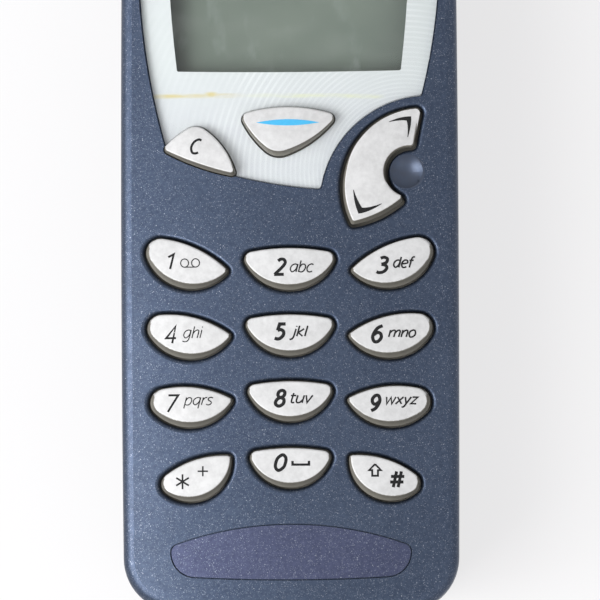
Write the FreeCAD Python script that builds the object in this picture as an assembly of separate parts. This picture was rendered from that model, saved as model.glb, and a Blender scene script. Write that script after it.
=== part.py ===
import FreeCAD, Part
import math
import os

from FreeCAD import Vector

# Candybar phone lying on its back, in millimetres.
# +Z comes out of the display, +Y points to the aerial end and +X to the right of the keys.
# The origin is on the flat back of the battery, half way along the body.

# Body: a thicker body has a thicker battery, and its front half stays
body_length = 132.0
body_width = 47.6
face_top = 30.0
front_height = 12.6
half_width = body_width / 2
foot_end = -body_length / 2
head_end = body_length / 2
seam_height = face_top - front_height
seam_gap = 0.2
side_bow = 0.4
foot_bow = 0.15
head_bow = 2.0
foot_corner_radius = 7.6
head_corner_radius = 12.0

# How far a cutting shape runs past what it cuts
cutter_spill = 5.0

# The face's outlines are drawn for this width, and they spread with the body
outline_width = 47.6
across = body_width / outline_width

# Crown of the face: its highest point, its fall over half the body and its two radii
crown_from_head = 54.0
crown_y = head_end - crown_from_head
crown_fall = 2.7225
crown_long_radius = body_length ** 2 / (8 * crown_fall)
crown_cross_radius = 140.0

# Front cover
cover_wall = 1.5
cover_draft_angle = 2.1
face_edge_radius = 1.9
rim_low_rise = 4.0
rim_low_z = seam_height + rim_low_rise
cover_pad_thickness = 0.6
cover_pad_reach = 0.35
hook_width = 6.0
hook_height = 1.6
hook_reach = 0.9
hook_rise = 0.5
hook_gap = 0.3
hook_shift = 3.0
hook_y = body_length / 4 - hook_shift

# Display panel: clear lens over a silver sheet with the display opening
# Corners near the foot are measured from the foot end, the others back from the head end
lens_thickness = 0.9
lens_glue = 0.05
trim_thickness = 0.2
trim_glue = 0.05
panel_gap = 0.2
panel_corner_foot_left = (-16.75, 63.45)
panel_corner_foot_right = (4.35, 58.4)
panel_corner_side = (18.35, 71.5)
panel_corner_head = (18.8, 20.0)
panel_bows = (0.9, -3.3, 2.45, 3.4, 3.0)
panel_rounds = (1.0, 0.5, 0.4, 6.0, 6.0)
window_foot = (15.55, 75.05)
window_head = (17.0, 28.4)
window_bows = (0.3, 0.5, 1.2, 0.5)
window_rounds = (0.3, 1.6)
window_ledge = 1.0

# Dimple beside the scroll key, earpiece slots and foot badge
dimple_place = (16.4, 60.8)
dimple_radius = 2.4
dimple_depth = 0.95
slot_from_head = 9.6
slot_y = head_end - slot_from_head
slot_pitch = 2.1
slot_width = 1.0
slot_end_radius = 0.49
slot_lengths = (2.6, 4.2, 4.8, 4.2, 2.6)
badge_half_foot = 15.5
badge_half_head = 16.5
badge_foot = 5.2
badge_head = 9.2
badge_bows = (0.5, 0.3, 2.95, 0.3)
badge_rounds = (3.3, 1.1)
badge_thickness = 0.6
badge_gap = 0.18
badge_glue = 0.03

# Keys
row_from_foot = 49.4
row_y = foot_end + row_from_foot
row_pitch = 9.1
side_outer = ((20.0, 2.4), (20.2, 0.4), (20.15, -1.15), (18.3, -4.2))
side_inner = ((8.5, -2.3), (8.1, -2.1), (7.9, -1.8), (8.3, -0.4))
side_bows = ((3.9, 1.3), (3.65, 1.45), (3.4, 1.45), (3.6, 1.2))
side_rounds = ((2.0, 0.5), (1.9, 0.5), (1.9, 0.5), (1.5, 0.5))
middle_halves = (6.45, 6.2, 5.95, 5.65)
middle_bows = ((4.28, 0.76), (4.25, 0.7), (4.15, 0.65), (4.15, 0.6))
middle_rounds = (1.1, 1.0, 1.0, 1.0)
clear_corners = ((-17.5, 64.2), (-7.35, 60.5), (-12.8, 67.45))
clear_bows = (0.42, 1.0, 0.3)
clear_rounds = (0.55, 0.5, 2.3)
menu_corners = ((-6.65, 68.7), (-1.9, 63.2), (6.65, 68.55))
menu_bows = (0.57, 0.9, 1.1)
menu_rounds = (0.9, 2.9, 0.8)
scroll_corners = ((18.3, 69.5), (8.72, 54.0), (15.85, 57.4), (17.2, 64.2))
scroll_bows = (5.1, 0.6, -3.55, 0.0)
scroll_rounds = (0.6, 0.4, 0.45, 0.5)
scroll_presses = ((15.0, 66.6), (10.8, 56.8))
scroll_rib = (10.4, 62.8)
key_proud = 1.0
key_skirt = 0.8
key_lean = 0.7
key_hole_gap = 0.2
scroll_hole_gap = 0.4
key_hole_round = 0.6
key_dome_radius = 60.0
key_dome_shift = 4.0
key_rim_radius = 0.3
key_flange_reach = 0.6
key_flange_thickness = 0.7
key_flange_gap = 0.25
scroll_flange_gap = 0.8
fulcrum_gap = 0.15
fulcrum_radius = 0.9
key_neck_inset = 0.35
key_plunger_radius = 1.5
key_travel = 0.5
key_play = 0.05

# Silicone mat, snap domes and film
mat_thickness = 0.7
mat_lift = 1.0
mat_rim_width = 1.5
mat_edge_gap = 0.3
mat_reach = 71.8
mat_head_y = foot_end + mat_reach
mat_from_foot = 12.0
mat_foot_y = foot_end + mat_from_foot
mat_pad_radius = 2.8
mat_pad_height = 0.4
mat_nub_radius = 1.2
mat_nub_gap = 0.15
dome_radius = 2.5
dome_height = 0.4
dome_sheet = 0.12
film_thickness = 0.1
film_hole_gap = 0.2

# Boards, from the battery side up
board_inset = 4.4
main_board_rise = 0.4
main_board_bottom = seam_height + main_board_rise
main_board_thickness = 1.0
board_spacing = 1.6
keypad_board_thickness = 0.8

# Chassis
chassis_gap = 0.2
chassis_wall = 1.2
chassis_ledge = 2.4
chassis_drop = 1.9
chassis_bottom = seam_height - chassis_drop
chassis_rise = 5.6
chassis_top = seam_height + chassis_rise
tongue_gap = 0.3
tongue_wall = 1.0
tongue_height = 2.0
boss_radius = 2.5
boss_notch_gap = 0.4
screw_from_side = 6.6
screw_x = half_width - screw_from_side
screw_from_foot = 12.0
screw_from_head = 48.0
screw_ys = (foot_end + screw_from_foot, head_end - screw_from_head)
screw_radius = 1.0
screw_head_radius = 1.9
screw_head_height = 1.4
screw_sink = 0.1
screw_slot_length = 2.2
screw_slot_width = 0.5
screw_slot_depth = 0.7
screw_length = 5.6
screw_thread_gap = 0.02
screw_clearance = 0.15

# Display module
lcd_from_side = 5.6
lcd_half_width = half_width - lcd_from_side
lcd_from_foot = 72.8
lcd_foot_y = foot_end + lcd_from_foot
lcd_from_head = 25.2
lcd_head_y = head_end - lcd_from_head
lcd_rim = 0.6
lcd_corner = 0.4
lcd_frame_wall = 0.6
lcd_rise = 8.0
lcd_top = seam_height + lcd_rise
lcd_bezel = 0.3
lcd_thickness = 1.3
guide_thickness = 1.8
guide_gap = 0.1
guide_foot_width = 1.2
led_size = (1.6, 0.8, 0.6)
led_xs = (-12.0, -4.0, 4.0, 12.0)
zebra_from_side = 9.8
zebra_half_length = half_width - zebra_from_side
zebra_depth = 1.6

# Earpiece
earpiece_from_head = 10.6
earpiece_y = head_end - earpiece_from_head
earpiece_radius = 6.0
earpiece_height = 3.4
earpiece_dish = 0.7
gasket_wall = 1.2
gasket_rise = 9.0
gasket_top = seam_height + gasket_rise
screen_radius = 5.2
screen_thickness = 0.2

# Back shell and battery
back_draft = 0.6
back_edge_radius = 5.5
back_wall = 1.5
slope_from_head = 32.0
slope_start = head_end - slope_from_head
slope_radius = 140.0
slope_gap = 0.1
bay_floor = 1.2
bay_gap = 0.3
boss_wall = 1.65
battery_drop = 5.9
battery_top = seam_height - battery_drop
battery_from_head = 39.0
battery_end_y = head_end - battery_from_head
battery_wall = 1.3
battery_lid_thickness = 1.1
battery_swing = 20.0
pivot_from_foot = 2.0
pivot_y = foot_end + pivot_from_foot
lug_radius = 0.8
lug_gap = 0.1
lug_length = 3.5
lug_from_side = 7.3
lug_x = half_width - lug_from_side
lid_relief = 4.0
cell_side_room = 4.0
cell_top_room = 1.1
cell_head_room = 18.6
cell_edge_flat = 0.2
cell_gap = 0.25
cell_from_foot = 7.4
cell_foot_y = foot_end + cell_from_foot
pad_xs = (-6.0, -2.0, 2.0, 6.0)
pad_size = (2.0, 3.5, 0.2)
pad_from_end = 4.2
pad_y = battery_end_y - pad_from_end
spring_width = 1.0
spring_bend_radius = 0.9
spring_sheet = 0.3
spring_slot_gap = 0.15
spring_gap = 0.25
spring_reach = 0.35
spring_block_size = (17.0, 5.4)
spring_block_gap = 0.3

# Battery latch
latch_half_width = 7.0
latch_length = 5.1
latch_end_wall = 1.4
latch_height = 2.75
latch_rise = 0.35
latch_flange_reach = 1.2
latch_flange_height = 1.0
latch_gap = 0.3
latch_travel = 2.0
latch_nose_half = 4.0
latch_nose_height = 1.2
latch_pocket_wall = 1.3
latch_nose_rise = 1.6
latch_nose_gap = 0.2
keeper_depth = 0.9
grip_count = 4
grip_width = 0.5
grip_depth = 0.3

# Aerial
aerial_from_side = 8.8
aerial_x = aerial_from_side - half_width
aerial_drop = 4.8
aerial_z = seam_height - aerial_drop
aerial_radius = 4.0
aerial_tip_radius = 3.6
aerial_tip_round = 2.4
aerial_seat_depth = 1.8
aerial_seat_y = head_end - aerial_seat_depth
aerial_length = 21.8
aerial_wall = 1.6
coil_wall = 0.8
coil_length = 17.0
ferrule_radius = 2.6
ferrule_bore = 1.7
ferrule_length = 6.0
aerial_gap = 0.1
aerial_boss_radius = 4.3
clip_thickness = 0.2
clip_width = 4.0
clip_foot = 4.8

# Power key
power_x = 7.0
power_drop = 2.6
power_z = seam_height - power_drop
power_half_length = 4.0
power_half_height = 1.6
power_end_radius = 1.5
power_proud = 0.6
power_hole_gap = 0.15
power_flange = 0.8
power_flange_thickness = 0.8
power_flange_gap = 0.3
power_stem_radius = 0.9
switch_size = (6.0, 3.0, 4.4)
switch_from_head = 7.8
switch_y = head_end - switch_from_head
switch_button_radius = 0.9
switch_button_length = 0.5

# Sounder, shields, chips and board connector
buzzer_from_head = 19.0
buzzer_y = head_end - buzzer_from_head
buzzer_radius = 5.0
buzzer_height = 4.0
buzzer_hole_radius = 0.6
sounder_hole_count = 5
sounder_hole_pitch = 2.2
shield_height = 3.4
shield_wall = 0.3
shield_corner = 1.0
baseband_from_side = 6.3
baseband_half = half_width - baseband_from_side
baseband_from_foot = 17.0
baseband_from_bay = 13.4
baseband_ys = (foot_end + baseband_from_foot, battery_end_y - baseband_from_bay)
rf_from_side = 5.8
rf_half = half_width - rf_from_side
rf_from_head = (37.4, 25.2)
rf_ys = (head_end - rf_from_head[0], head_end - rf_from_head[1])
chip_sizes = ((11.0, 11.0, 1.2), (9.0, 13.0, 1.0), (14.0, 8.0, 1.2), (7.0, 7.0, 1.0))
chip_xs = (-8.0, 8.5, -7.0, 9.0)
chip_rises = (28.0, 32.0, 52.0, 54.0)
rf_chip_xs = (-10.0, 6.0)
rf_chip_size = (8.0, 7.0, 1.2)
link_size = (18.0, 4.0)
link_from_foot = 44.0
link_y = foot_end + link_from_foot

# Aerial socket on the back and its rubber plug
port_from_side = 9.8
port_from_head = 14.0
port_place = (half_width - port_from_side, head_end - port_from_head)
port_radius = 2.7
port_bore = 1.6
back_hole_depth = 6.4
plug_radius = 3.0
plug_thickness = 1.2
plug_gap = 0.1

# Bottom end: connector block, charger socket and microphone
connector_half = 14.0
connector_depth = 8.2
connector_gap = 0.2
connector_recess = 0.15
connector_sink = 0.4
connector_step = 4.6
connector_step_y = foot_end + connector_step
jack_drop = 2.5
jack_z = seam_height - jack_drop
jack_radius = 2.0
jack_collar = 1.8
jack_collar_depth = 3.0
jack_bore = 1.6
jack_depth = 7.0
jack_pin_radius = 0.5
jack_pin_setback = 3.2
jack_front_step = 0.2
jack_back_wall = 0.8
socket_xs = (-12.2, -4.4)
socket_height = 1.8
socket_depth = 2.6
contact_count = 7
contact_width = 0.5
contact_thickness = 0.2
contact_setback = 0.6
mic_x = 9.5
mic_radius = 1.5
mic_length = 1.6
mic_port_radius = 0.5
mic_front_wall = 2.2
boot_wall = 0.4
boot_length = 3.0


class Side:
    """One side of an outline: straight, or an arc that bows outwards, or inwards below zero."""

    def __init__(self, start, end, bow):
        chord = end - start
        self.start = start
        self.bow = bow
        self.outward = -1j * chord / abs(chord)
        if bow:
            self.turn = math.copysign(1.0, bow)
            self.radius = (abs(chord) ** 2 / 4 + bow ** 2) / (2 * abs(bow))
            self.centre = (start + end) / 2 + self.outward * (bow - self.turn * self.radius)

    def inward(self, point):
        """Direction from a point straight away from this side, into the outline."""
        if not self.bow:
            return -self.outward
        away = point - self.centre
        return -self.turn * away / abs(away)

    def depth(self, point):
        """How far a point lies inside this side."""
        if not self.bow:
            return ((point - self.start) * (-self.outward).conjugate()).real
        return self.turn * (self.radius - abs(point - self.centre))

    def foot(self, point, grow):
        """Nearest point on this side once it has grown outwards."""
        return point - self.inward(point) * (self.depth(point) + grow)

    def middle(self, first, last, grow):
        """Point half way along the grown side between two of its points."""
        half_way = (first + last) / 2
        if not self.bow:
            return half_way
        away = half_way - self.centre
        return self.centre + away / abs(away) * (self.radius + self.turn * grow)


def round_centre(before, after, corner, radius):
    """Centre of the round that touches two sides beside their corner."""
    point = corner
    for _ in range(30):
        into_before = before.inward(point)
        into_after = after.inward(point)
        short_before = radius - before.depth(point)
        short_after = radius - after.depth(point)
        cross = into_before.real * into_after.imag - into_before.imag * into_after.real
        step_x = (short_before * into_after.imag - short_after * into_before.imag) / cross
        step_y = (short_after * into_before.real - short_before * into_after.real) / cross
        point += complex(step_x, step_y)
    return point


class Plan:
    """Closed outline seen from above: corners in anticlockwise order, the bow of each side
    and the round of each corner."""

    def __init__(self, corners, bows, rounds):
        points = [complex(x, y) for x, y in corners]
        following = points[1:] + points[:1]
        self.sides = [Side(a, b, bow) for a, b, bow in zip(points, following, bows)]
        self.rounds = rounds
        self.centres = []
        for index, corner in enumerate(points):
            before = self.sides[index - 1]
            self.centres.append(round_centre(before, self.sides[index], corner, rounds[index]))

    def middle(self):
        centre = sum(self.centres) / len(self.centres)
        return centre.real, centre.imag

    def wire(self, z, grow=0.0):
        edges = []
        count = len(self.sides)
        for index in range(count):
            centre = self.centres[index]
            after = self.sides[index]
            first = self.sides[index - 1].foot(centre, grow)
            last = after.foot(centre, grow)
            lean = first + last - 2 * centre
            crest = centre + lean / abs(lean) * (self.rounds[index] + grow)
            following = after.foot(self.centres[(index + 1) % count], grow)
            edges.append(arc_edge(first, crest, last, z))
            if after.bow:
                edges.append(arc_edge(last, after.middle(last, following, grow), following, z))
            else:
                edges.append(Part.makeLine(lift(last, z), lift(following, z)))
        return Part.Wire(edges)


def lift(point, z):
    return Vector(point.real, point.imag, z)


def arc_edge(first, middle, last, z):
    return Part.Arc(lift(first, z), lift(middle, z), lift(last, z)).toShape()


def prism(plan, low, high, grow=0.0):
    return Part.Face(plan.wire(low, grow)).extrude(Vector(0, 0, high - low))


def taper(plan, low, high, low_grow, high_grow):
    return Part.makeLoft([plan.wire(low, low_grow), plan.wire(high, high_grow)], True, True)


def rectangle(half_x, low_y, high_y, radius):
    corners = [(-half_x, low_y), (half_x, low_y), (half_x, high_y), (-half_x, high_y)]
    return Plan(corners, (0, 0, 0, 0), (radius,) * 4)


def block(x_span, y_span, z_span):
    corner = Vector(x_span[0], y_span[0], z_span[0])
    size = [span[1] - span[0] for span in (x_span, y_span, z_span)]
    return Part.makeBox(size[0], size[1], size[2], corner)


def centred_block(x, y, size, z):
    return block((x - size[0] / 2, x + size[0] / 2), (y - size[1] / 2, y + size[1] / 2), z)


def disc(x, y, low, high, radius):
    return Part.makeCylinder(radius, high - low, Vector(x, y, low))


def rod(x, z, near_y, far_y, radius):
    return Part.makeCylinder(radius, far_y - near_y, Vector(x, near_y, z), Vector(0, 1, 0))


def bar(plan, x, z, near_y, far_y):
    """An outline drawn in the width and height of the body, run along its length."""
    shape = prism(plan, 0, far_y - near_y)
    shape.rotate(Vector(0, 0, 0), Vector(1, 0, 0), 90)
    shape.translate(Vector(x, far_y, z))
    return shape


def save(name, solids):
    shape = solids if isinstance(solids, Part.Shape) else Part.Compound(solids)
    shape.exportStep(os.path.join("parts", name + ".step"))


# Outlines that several pieces share

reach = body_length


def from_foot(point):
    """Place on the face of a point drawn from the foot end."""
    return point[0] * across, foot_end + point[1]


def from_head(point):
    """Place on the face of a point drawn back from the head end."""
    return point[0] * across, head_end - point[1]


def mirrored(point):
    return -point[0], point[1]


body_plan = Plan(
    [
        (-half_width + side_bow, foot_end + foot_bow),
        (half_width - side_bow, foot_end + foot_bow),
        (half_width - side_bow, head_end - head_bow),
        (-half_width + side_bow, head_end - head_bow),
    ],
    (foot_bow, side_bow, head_bow, side_bow),
    (foot_corner_radius, foot_corner_radius, head_corner_radius, head_corner_radius),
)

panel_plan = Plan(
    [
        from_foot(panel_corner_foot_left),
        from_foot(panel_corner_foot_right),
        from_foot(panel_corner_side),
        from_head(panel_corner_head),
        from_head(mirrored(panel_corner_head)),
    ],
    panel_bows,
    panel_rounds,
)

window_plan = Plan(
    [
        from_foot(mirrored(window_foot)),
        from_foot(window_foot),
        from_head(window_head),
        from_head(mirrored(window_head)),
    ],
    window_bows,
    (window_rounds[0], window_rounds[0], window_rounds[1], window_rounds[1]),
)

badge_plan = Plan(
    [
        from_foot((-badge_half_foot, badge_foot)),
        from_foot((badge_half_foot, badge_foot)),
        from_foot((badge_half_head, badge_head)),
        from_foot((-badge_half_head, badge_head)),
    ],
    badge_bows,
    (badge_rounds[0], badge_rounds[0], badge_rounds[1], badge_rounds[1]),
)

# Heights that follow from the stack

bay_floor_bottom = battery_top + bay_gap
bay_floor_top = bay_floor_bottom + bay_floor
main_board_top = main_board_bottom + main_board_thickness
keypad_board_bottom = main_board_top + board_spacing
keypad_board_top = keypad_board_bottom + keypad_board_thickness
mat_bottom = keypad_board_top + mat_lift
mat_top = mat_bottom + mat_thickness
mat_pad_top = mat_top + mat_pad_height
pocket_depth = lens_thickness + lens_glue + trim_thickness + trim_glue
seam_top = seam_height - seam_gap
tongue_outer = cover_wall + tongue_gap
tongue_inner = tongue_outer + tongue_wall
chassis_outer = tongue_inner + chassis_gap
chassis_inner = chassis_outer + chassis_wall
draft_run = math.tan(math.radians(cover_draft_angle))


def face_height(x, y):
    """Height of the crowned face above a point of the plan."""
    ring = crown_long_radius - crown_cross_radius + math.sqrt(crown_cross_radius ** 2 - x ** 2)
    return face_top - crown_long_radius + math.sqrt(ring ** 2 - (y - crown_y) ** 2)


def crown(depth):
    """All that lies under the face, lowered by a depth (raised where it is negative)."""
    cross = crown_cross_radius - depth
    side = body_width
    edge = face_top - crown_cross_radius + math.sqrt(cross ** 2 - side ** 2)
    left = Vector(-side, crown_y, edge)
    right = Vector(side, crown_y, edge)
    base_left = Vector(-side, crown_y, 0)
    base_right = Vector(side, crown_y, 0)
    arc = Part.Arc(left, Vector(0, crown_y, face_top - depth), right).toShape()
    sides = Part.makePolygon([right, base_right, base_left, left])
    section = Part.Face(Part.Wire([arc] + sides.Edges))
    hub = Vector(0, crown_y, face_top - crown_long_radius)
    swing = math.degrees(body_length / crown_long_radius)
    section.rotate(hub, Vector(1, 0, 0), -swing)
    return section.revolve(hub, Vector(1, 0, 0), 2 * swing)


def under_face(plan, depth, thickness, grow=0.0):
    """Sheet that follows the face between two depths, inside an outline."""
    sheet = prism(plan, seam_height, face_top + cutter_spill, grow).common(crown(depth))
    return sheet.cut(crown(depth + thickness))


def above_depth(plan, depth, grow=0.0):
    """What an outline takes away from the face down to a depth."""
    return prism(plan, seam_height, face_top + cutter_spill, grow).cut(crown(depth))


# Keys

def lens_key(corners, bows, rounds):
    """Two-cornered key: its walls lean out at both ends and most at the lower side."""
    return {"corners": corners, "bows": bows, "rounds": rounds,
            "corner_lean": ((-0.25, 0.0), (0.25, 0.0)), "bow_lean": (1.0, 0.0)}


def side_keys(row):
    """A left key and its mirror image on the right of one row."""
    y = row_y - row * row_pitch
    outer_x, outer_y = side_outer[row]
    inner_x, inner_y = side_inner[row]
    left = [(-outer_x * across, y + outer_y), (-inner_x * across, y + inner_y)]
    right = [(inner_x * across, y + inner_y), (outer_x * across, y + outer_y)]
    bows = side_bows[row]
    rounds = side_rounds[row]
    return lens_key(left, bows, rounds), lens_key(right, bows, rounds[::-1])


def middle_key(row):
    y = row_y - row * row_pitch
    half = middle_halves[row] * across
    return lens_key([(-half, y), (half, y)], middle_bows[row], (middle_rounds[row],) * 2)


key_rows = (("1", "2", "3"), ("4", "5", "6"), ("7", "8", "9"), ("star", "0", "hash"))
keys = {}
for row, (left_mark, middle_mark, right_mark) in enumerate(key_rows):
    keys["key_" + left_mark], keys["key_" + right_mark] = side_keys(row)
    keys["key_" + middle_mark] = middle_key(row)
keys["key_clear"] = {
    "corners": [from_foot(point) for point in clear_corners],
    "bows": clear_bows,
    "rounds": clear_rounds,
    "corner_lean": ((-0.1, 0.45), (0.15, 0.6), (0.0, 0.0)),
    "bow_lean": (0.1, 0.0, 0.0),
}
keys["key_menu"] = {
    "corners": [from_foot(point) for point in menu_corners],
    "bows": menu_bows,
    "rounds": menu_rounds,
    "corner_lean": ((-0.2, 0.1), (0.0, 0.8), (0.2, 0.1)),
    "bow_lean": (0.0, 0.0, 0.0),
}
keys["key_scroll"] = {
    "corners": [from_foot(point) for point in scroll_corners],
    "bows": scroll_bows,
    "rounds": scroll_rounds,
    "corner_lean": ((0.0, -0.1), (-0.1, 0.85), (0.25, 0.6), (0.0, 0.0)),
    "bow_lean": (0.15, 0.0, 0.3, 0.0),
}
scroll_plungers = [from_foot(point) for point in scroll_presses]
scroll_fulcrum = from_foot(scroll_rib)


def key_plan(key, lean):
    """Outline of a key where its walls have leaned out by this much."""
    corners = []
    for (x, y), (aside, down) in zip(key["corners"], key["corner_lean"]):
        corners.append((x + aside * lean, y - down * lean))
    bows = [bow + share * lean for bow, share in zip(key["bows"], key["bow_lean"])]
    return Plan(corners, bows, key["rounds"])


def key_middle(key):
    """Point of a key that its tilt turns about and that its plunger stands under."""
    plan = key_plan(key, 0)
    first, second = plan.sides[0], plan.sides[-1]
    if len(plan.sides) > 2:
        return plan.middle()
    start, end = [complex(*corner) for corner in key["corners"]]
    half_way = (start + end) / 2
    return lift(half_way + first.outward * (first.bow - second.bow) / 2, 0)[:2]


def plunger_places(name):
    """Where a key presses the mat: the scroll key rocks, so it has one near each end."""
    return scroll_plungers if name == "key_scroll" else [key_middle(keys[name])]


def tilt_to_face(shape, x, y):
    """Tilts a piece built level at height 0 so that it follows the face at x, y."""
    shape.rotate(Vector(x, y, 0), Vector(0, 1, 0), math.degrees(x / crown_cross_radius))
    slope = (crown_y - y) / crown_long_radius
    shape.rotate(Vector(x, y, 0), Vector(1, 0, 0), math.degrees(slope))
    shape.translate(Vector(0, 0, face_height(x, y)))
    return shape


def key_solid(name):
    key = keys[name]
    x, y = key_middle(key)
    on_panel = name in ("key_menu", "key_clear")
    underside = cover_wall + (cover_pad_thickness if on_panel else 0.0)
    spare = key_proud / 2
    foot_plan = key_plan(key, key_lean)
    high_plan = key_plan(key, -key_lean * spare / key_proud)
    skirt = prism(foot_plan, -key_skirt, 0)
    wall = Part.makeLoft([foot_plan.wire(0), high_plan.wire(key_proud + spare)], True, True)
    dome_centre = Vector(x, y - key_dome_shift, key_proud - key_dome_radius)
    dome = Part.makeSphere(key_dome_radius, dome_centre)
    cap = wall.common(dome)
    rim = [edge for edge in cap.Edges if edge.BoundBox.ZMin > key_proud / 4]
    cap = cap.makeFillet(key_rim_radius, rim).fuse(skirt)
    flange_top = -underside - (scroll_flange_gap if name == "key_scroll" else key_flange_gap)
    neck = prism(key_plan(key, 0), flange_top - key_flange_thickness / 2, 0, -key_neck_inset)
    flange = prism(foot_plan, flange_top - key_flange_thickness, flange_top, key_flange_reach)
    head = tilt_to_face(cap.fuse([neck, flange]), x, y)
    plungers = []
    for px, py in plunger_places(name):
        top = face_height(px, py) + flange_top - key_flange_thickness / 2
        plungers.append(disc(px, py, mat_pad_top + key_travel + key_play, top, key_plunger_radius))
    if name == "key_scroll":
        px, py = scroll_fulcrum
        top = face_height(px, py) + flange_top - key_flange_thickness / 2
        plungers.append(disc(px, py, mat_top + fulcrum_gap, top, fulcrum_radius))
    return head.fuse(plungers)


# Front cover and what it carries

def drafted_body(low, high, inset):
    """Front half of the body inside its drafted walls."""
    low_grow = -inset - (low - seam_height) * draft_run
    high_grow = -inset - (high - seam_height) * draft_run
    return taper(body_plan, low, high, low_grow, high_grow)


def rim_edges(shape, low):
    return [edge for edge in shape.Edges if edge.BoundBox.ZMin > low]


def cover_outside():
    shape = drafted_body(seam_height, face_top + cutter_spill, 0).common(crown(0))
    return shape.makeFillet(face_edge_radius, rim_edges(shape, rim_low_z))


def cover_inside():
    shape = drafted_body(seam_height - cutter_spill, face_top + cutter_spill, cover_wall)
    shape = shape.common(crown(cover_wall))
    return shape.makeFillet(face_edge_radius - cover_wall, rim_edges(shape, rim_low_z))


def key_hole(name):
    plan = key_plan(keys[name], key_lean)
    gap = scroll_hole_gap if name == "key_scroll" else key_hole_gap
    return prism(plan, seam_height, face_top + cutter_spill, gap)


def face_edges(shape, bounds, margin):
    """Edges of a shape that lie on the face within the bounds of a hole."""
    tolerance = 0.01
    found = []
    for edge in shape.Edges:
        box = edge.BoundBox
        inside_x = box.XMin > bounds.XMin - margin and box.XMax < bounds.XMax + margin
        inside_y = box.YMin > bounds.YMin - margin and box.YMax < bounds.YMax + margin
        if inside_x and inside_y:
            middle = edge.valueAt((edge.FirstParameter + edge.LastParameter) / 2)
            if abs(middle.z - face_height(middle.x, middle.y)) < tolerance:
                found.append(edge)
    return found


def hooks():
    """Snap hooks on the inner side walls."""
    low = seam_height + hook_rise
    inner = half_width - cover_wall
    found = []
    for side in (-1, 1):
        for y in (-hook_y, hook_y):
            near = inner - hook_reach
            span = sorted((side * near, side * (inner + cover_wall / 2)))
            found.append(centred_hook(span, y, low))
    return found


def centred_hook(span, y, low):
    return block(span, (y - hook_width / 2, y + hook_width / 2), (low, low + hook_height))


def earpiece_slots():
    slots = []
    for index, length in enumerate(slot_lengths):
        x = (index - (len(slot_lengths) - 1) / 2) * slot_pitch
        low = slot_y - length / 2
        shape = rectangle(slot_width / 2, low, low + length, slot_end_radius)
        moved = prism(shape, seam_height, face_top + cutter_spill)
        moved.translate(Vector(x, 0, 0))
        slots.append(moved)
    return slots


def dimple_ball():
    radius = (dimple_radius ** 2 + dimple_depth ** 2) / (2 * dimple_depth)
    x, y = from_foot(dimple_place)
    return Part.makeSphere(radius, Vector(x, y, face_height(x, y) - dimple_depth + radius))


def front_cover():
    outside = cover_outside()
    inside = cover_inside()
    shell = outside.cut(inside)
    pad = prism(panel_plan, seam_height, face_top, cover_pad_reach).common(inside)
    pad = pad.cut(crown(cover_wall + cover_pad_thickness))
    clip_hooks = [hook.common(outside) for hook in hooks()]
    shell = shell.fuse([pad] + clip_hooks)
    for name in keys:
        if name == "key_menu":
            continue
        hole = key_hole(name)
        shell = shell.cut(hole)
        if name != "key_clear":
            margin = face_edges(shell, hole.BoundBox, key_hole_gap)
            shell = shell.makeFillet(key_hole_round, margin)
    shell = shell.cut(above_depth(panel_plan, pocket_depth, panel_gap))
    shell = shell.cut(prism(window_plan, seam_height, face_top, window_ledge))
    shell = shell.cut(key_hole("key_menu"))
    shell = shell.cut(above_depth(badge_plan, badge_thickness, badge_gap))
    shell = shell.cut(dimple_ball())
    return shell.cut(earpiece_slots())


def cut_panel_holes(sheet):
    return sheet.cut([key_hole("key_menu"), key_hole("key_clear"), key_hole("key_scroll")])


def display_window():
    return cut_panel_holes(under_face(panel_plan, 0, lens_thickness))


def display_trim():
    sheet = under_face(panel_plan, lens_thickness + lens_glue, trim_thickness)
    opening = prism(window_plan, seam_height, face_top + cutter_spill)
    return cut_panel_holes(sheet).cut(opening)


def cover_badge():
    return under_face(badge_plan, 0, badge_thickness - badge_glue)


def earpiece_screen():
    round_sheet = disc(0, slot_y, seam_height, face_top, screen_radius)
    return round_sheet.common(crown(cover_wall)).cut(crown(cover_wall + screen_thickness))


# Silicone mat, domes, film and the keypad board

def plunger_points():
    return [place for name in keys for place in plunger_places(name)]


def mat_zone(grow, low, high):
    """Part of the chassis's inside that the mat and film lie in."""
    zone = prism(body_plan, low, high, grow - chassis_inner - mat_edge_gap)
    return zone.common(block((-reach, reach), (mat_foot_y - grow, mat_head_y + grow), (low, high)))


def keymat():
    sheet = mat_zone(0, mat_bottom, mat_top)
    film_top = keypad_board_top + film_thickness
    rim = mat_zone(0, film_top, mat_bottom).cut(mat_zone(-mat_rim_width, film_top, mat_bottom))
    nub_low = keypad_board_top + dome_height + mat_nub_gap
    bumps = [rim]
    for x, y in plunger_points():
        pad = disc(x, y, mat_top, mat_pad_top, mat_pad_radius)
        bumps.append(pad.common(mat_zone(0, mat_top, mat_pad_top)))
        bumps.append(disc(x, y, nub_low, mat_bottom, mat_nub_radius))
    return sheet.fuse(bumps)


def snap_dome(x, y):
    ball = (dome_radius ** 2 + dome_height ** 2) / (2 * dome_height)
    centre = Vector(x, y, keypad_board_top + dome_height - ball)
    cap = Part.makeSphere(ball, centre).cut(Part.makeSphere(ball - dome_sheet, centre))
    span = (keypad_board_top, keypad_board_top + dome_height)
    return cap.common(disc(x, y, span[0], span[1], dome_radius))


def dome_film():
    film_top = keypad_board_top + film_thickness
    sheet = mat_zone(0, keypad_board_top, film_top)
    hole = dome_radius + film_hole_gap
    return sheet.cut([disc(x, y, keypad_board_top, film_top, hole) for x, y in plunger_points()])


def keypad_board():
    return prism(body_plan, keypad_board_bottom, keypad_board_top, -board_inset)


# Display module

def lcd_plan(grow):
    half = lcd_half_width + grow
    return rectangle(half, lcd_foot_y - grow, lcd_head_y + grow, lcd_corner + max(grow, 0))


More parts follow.
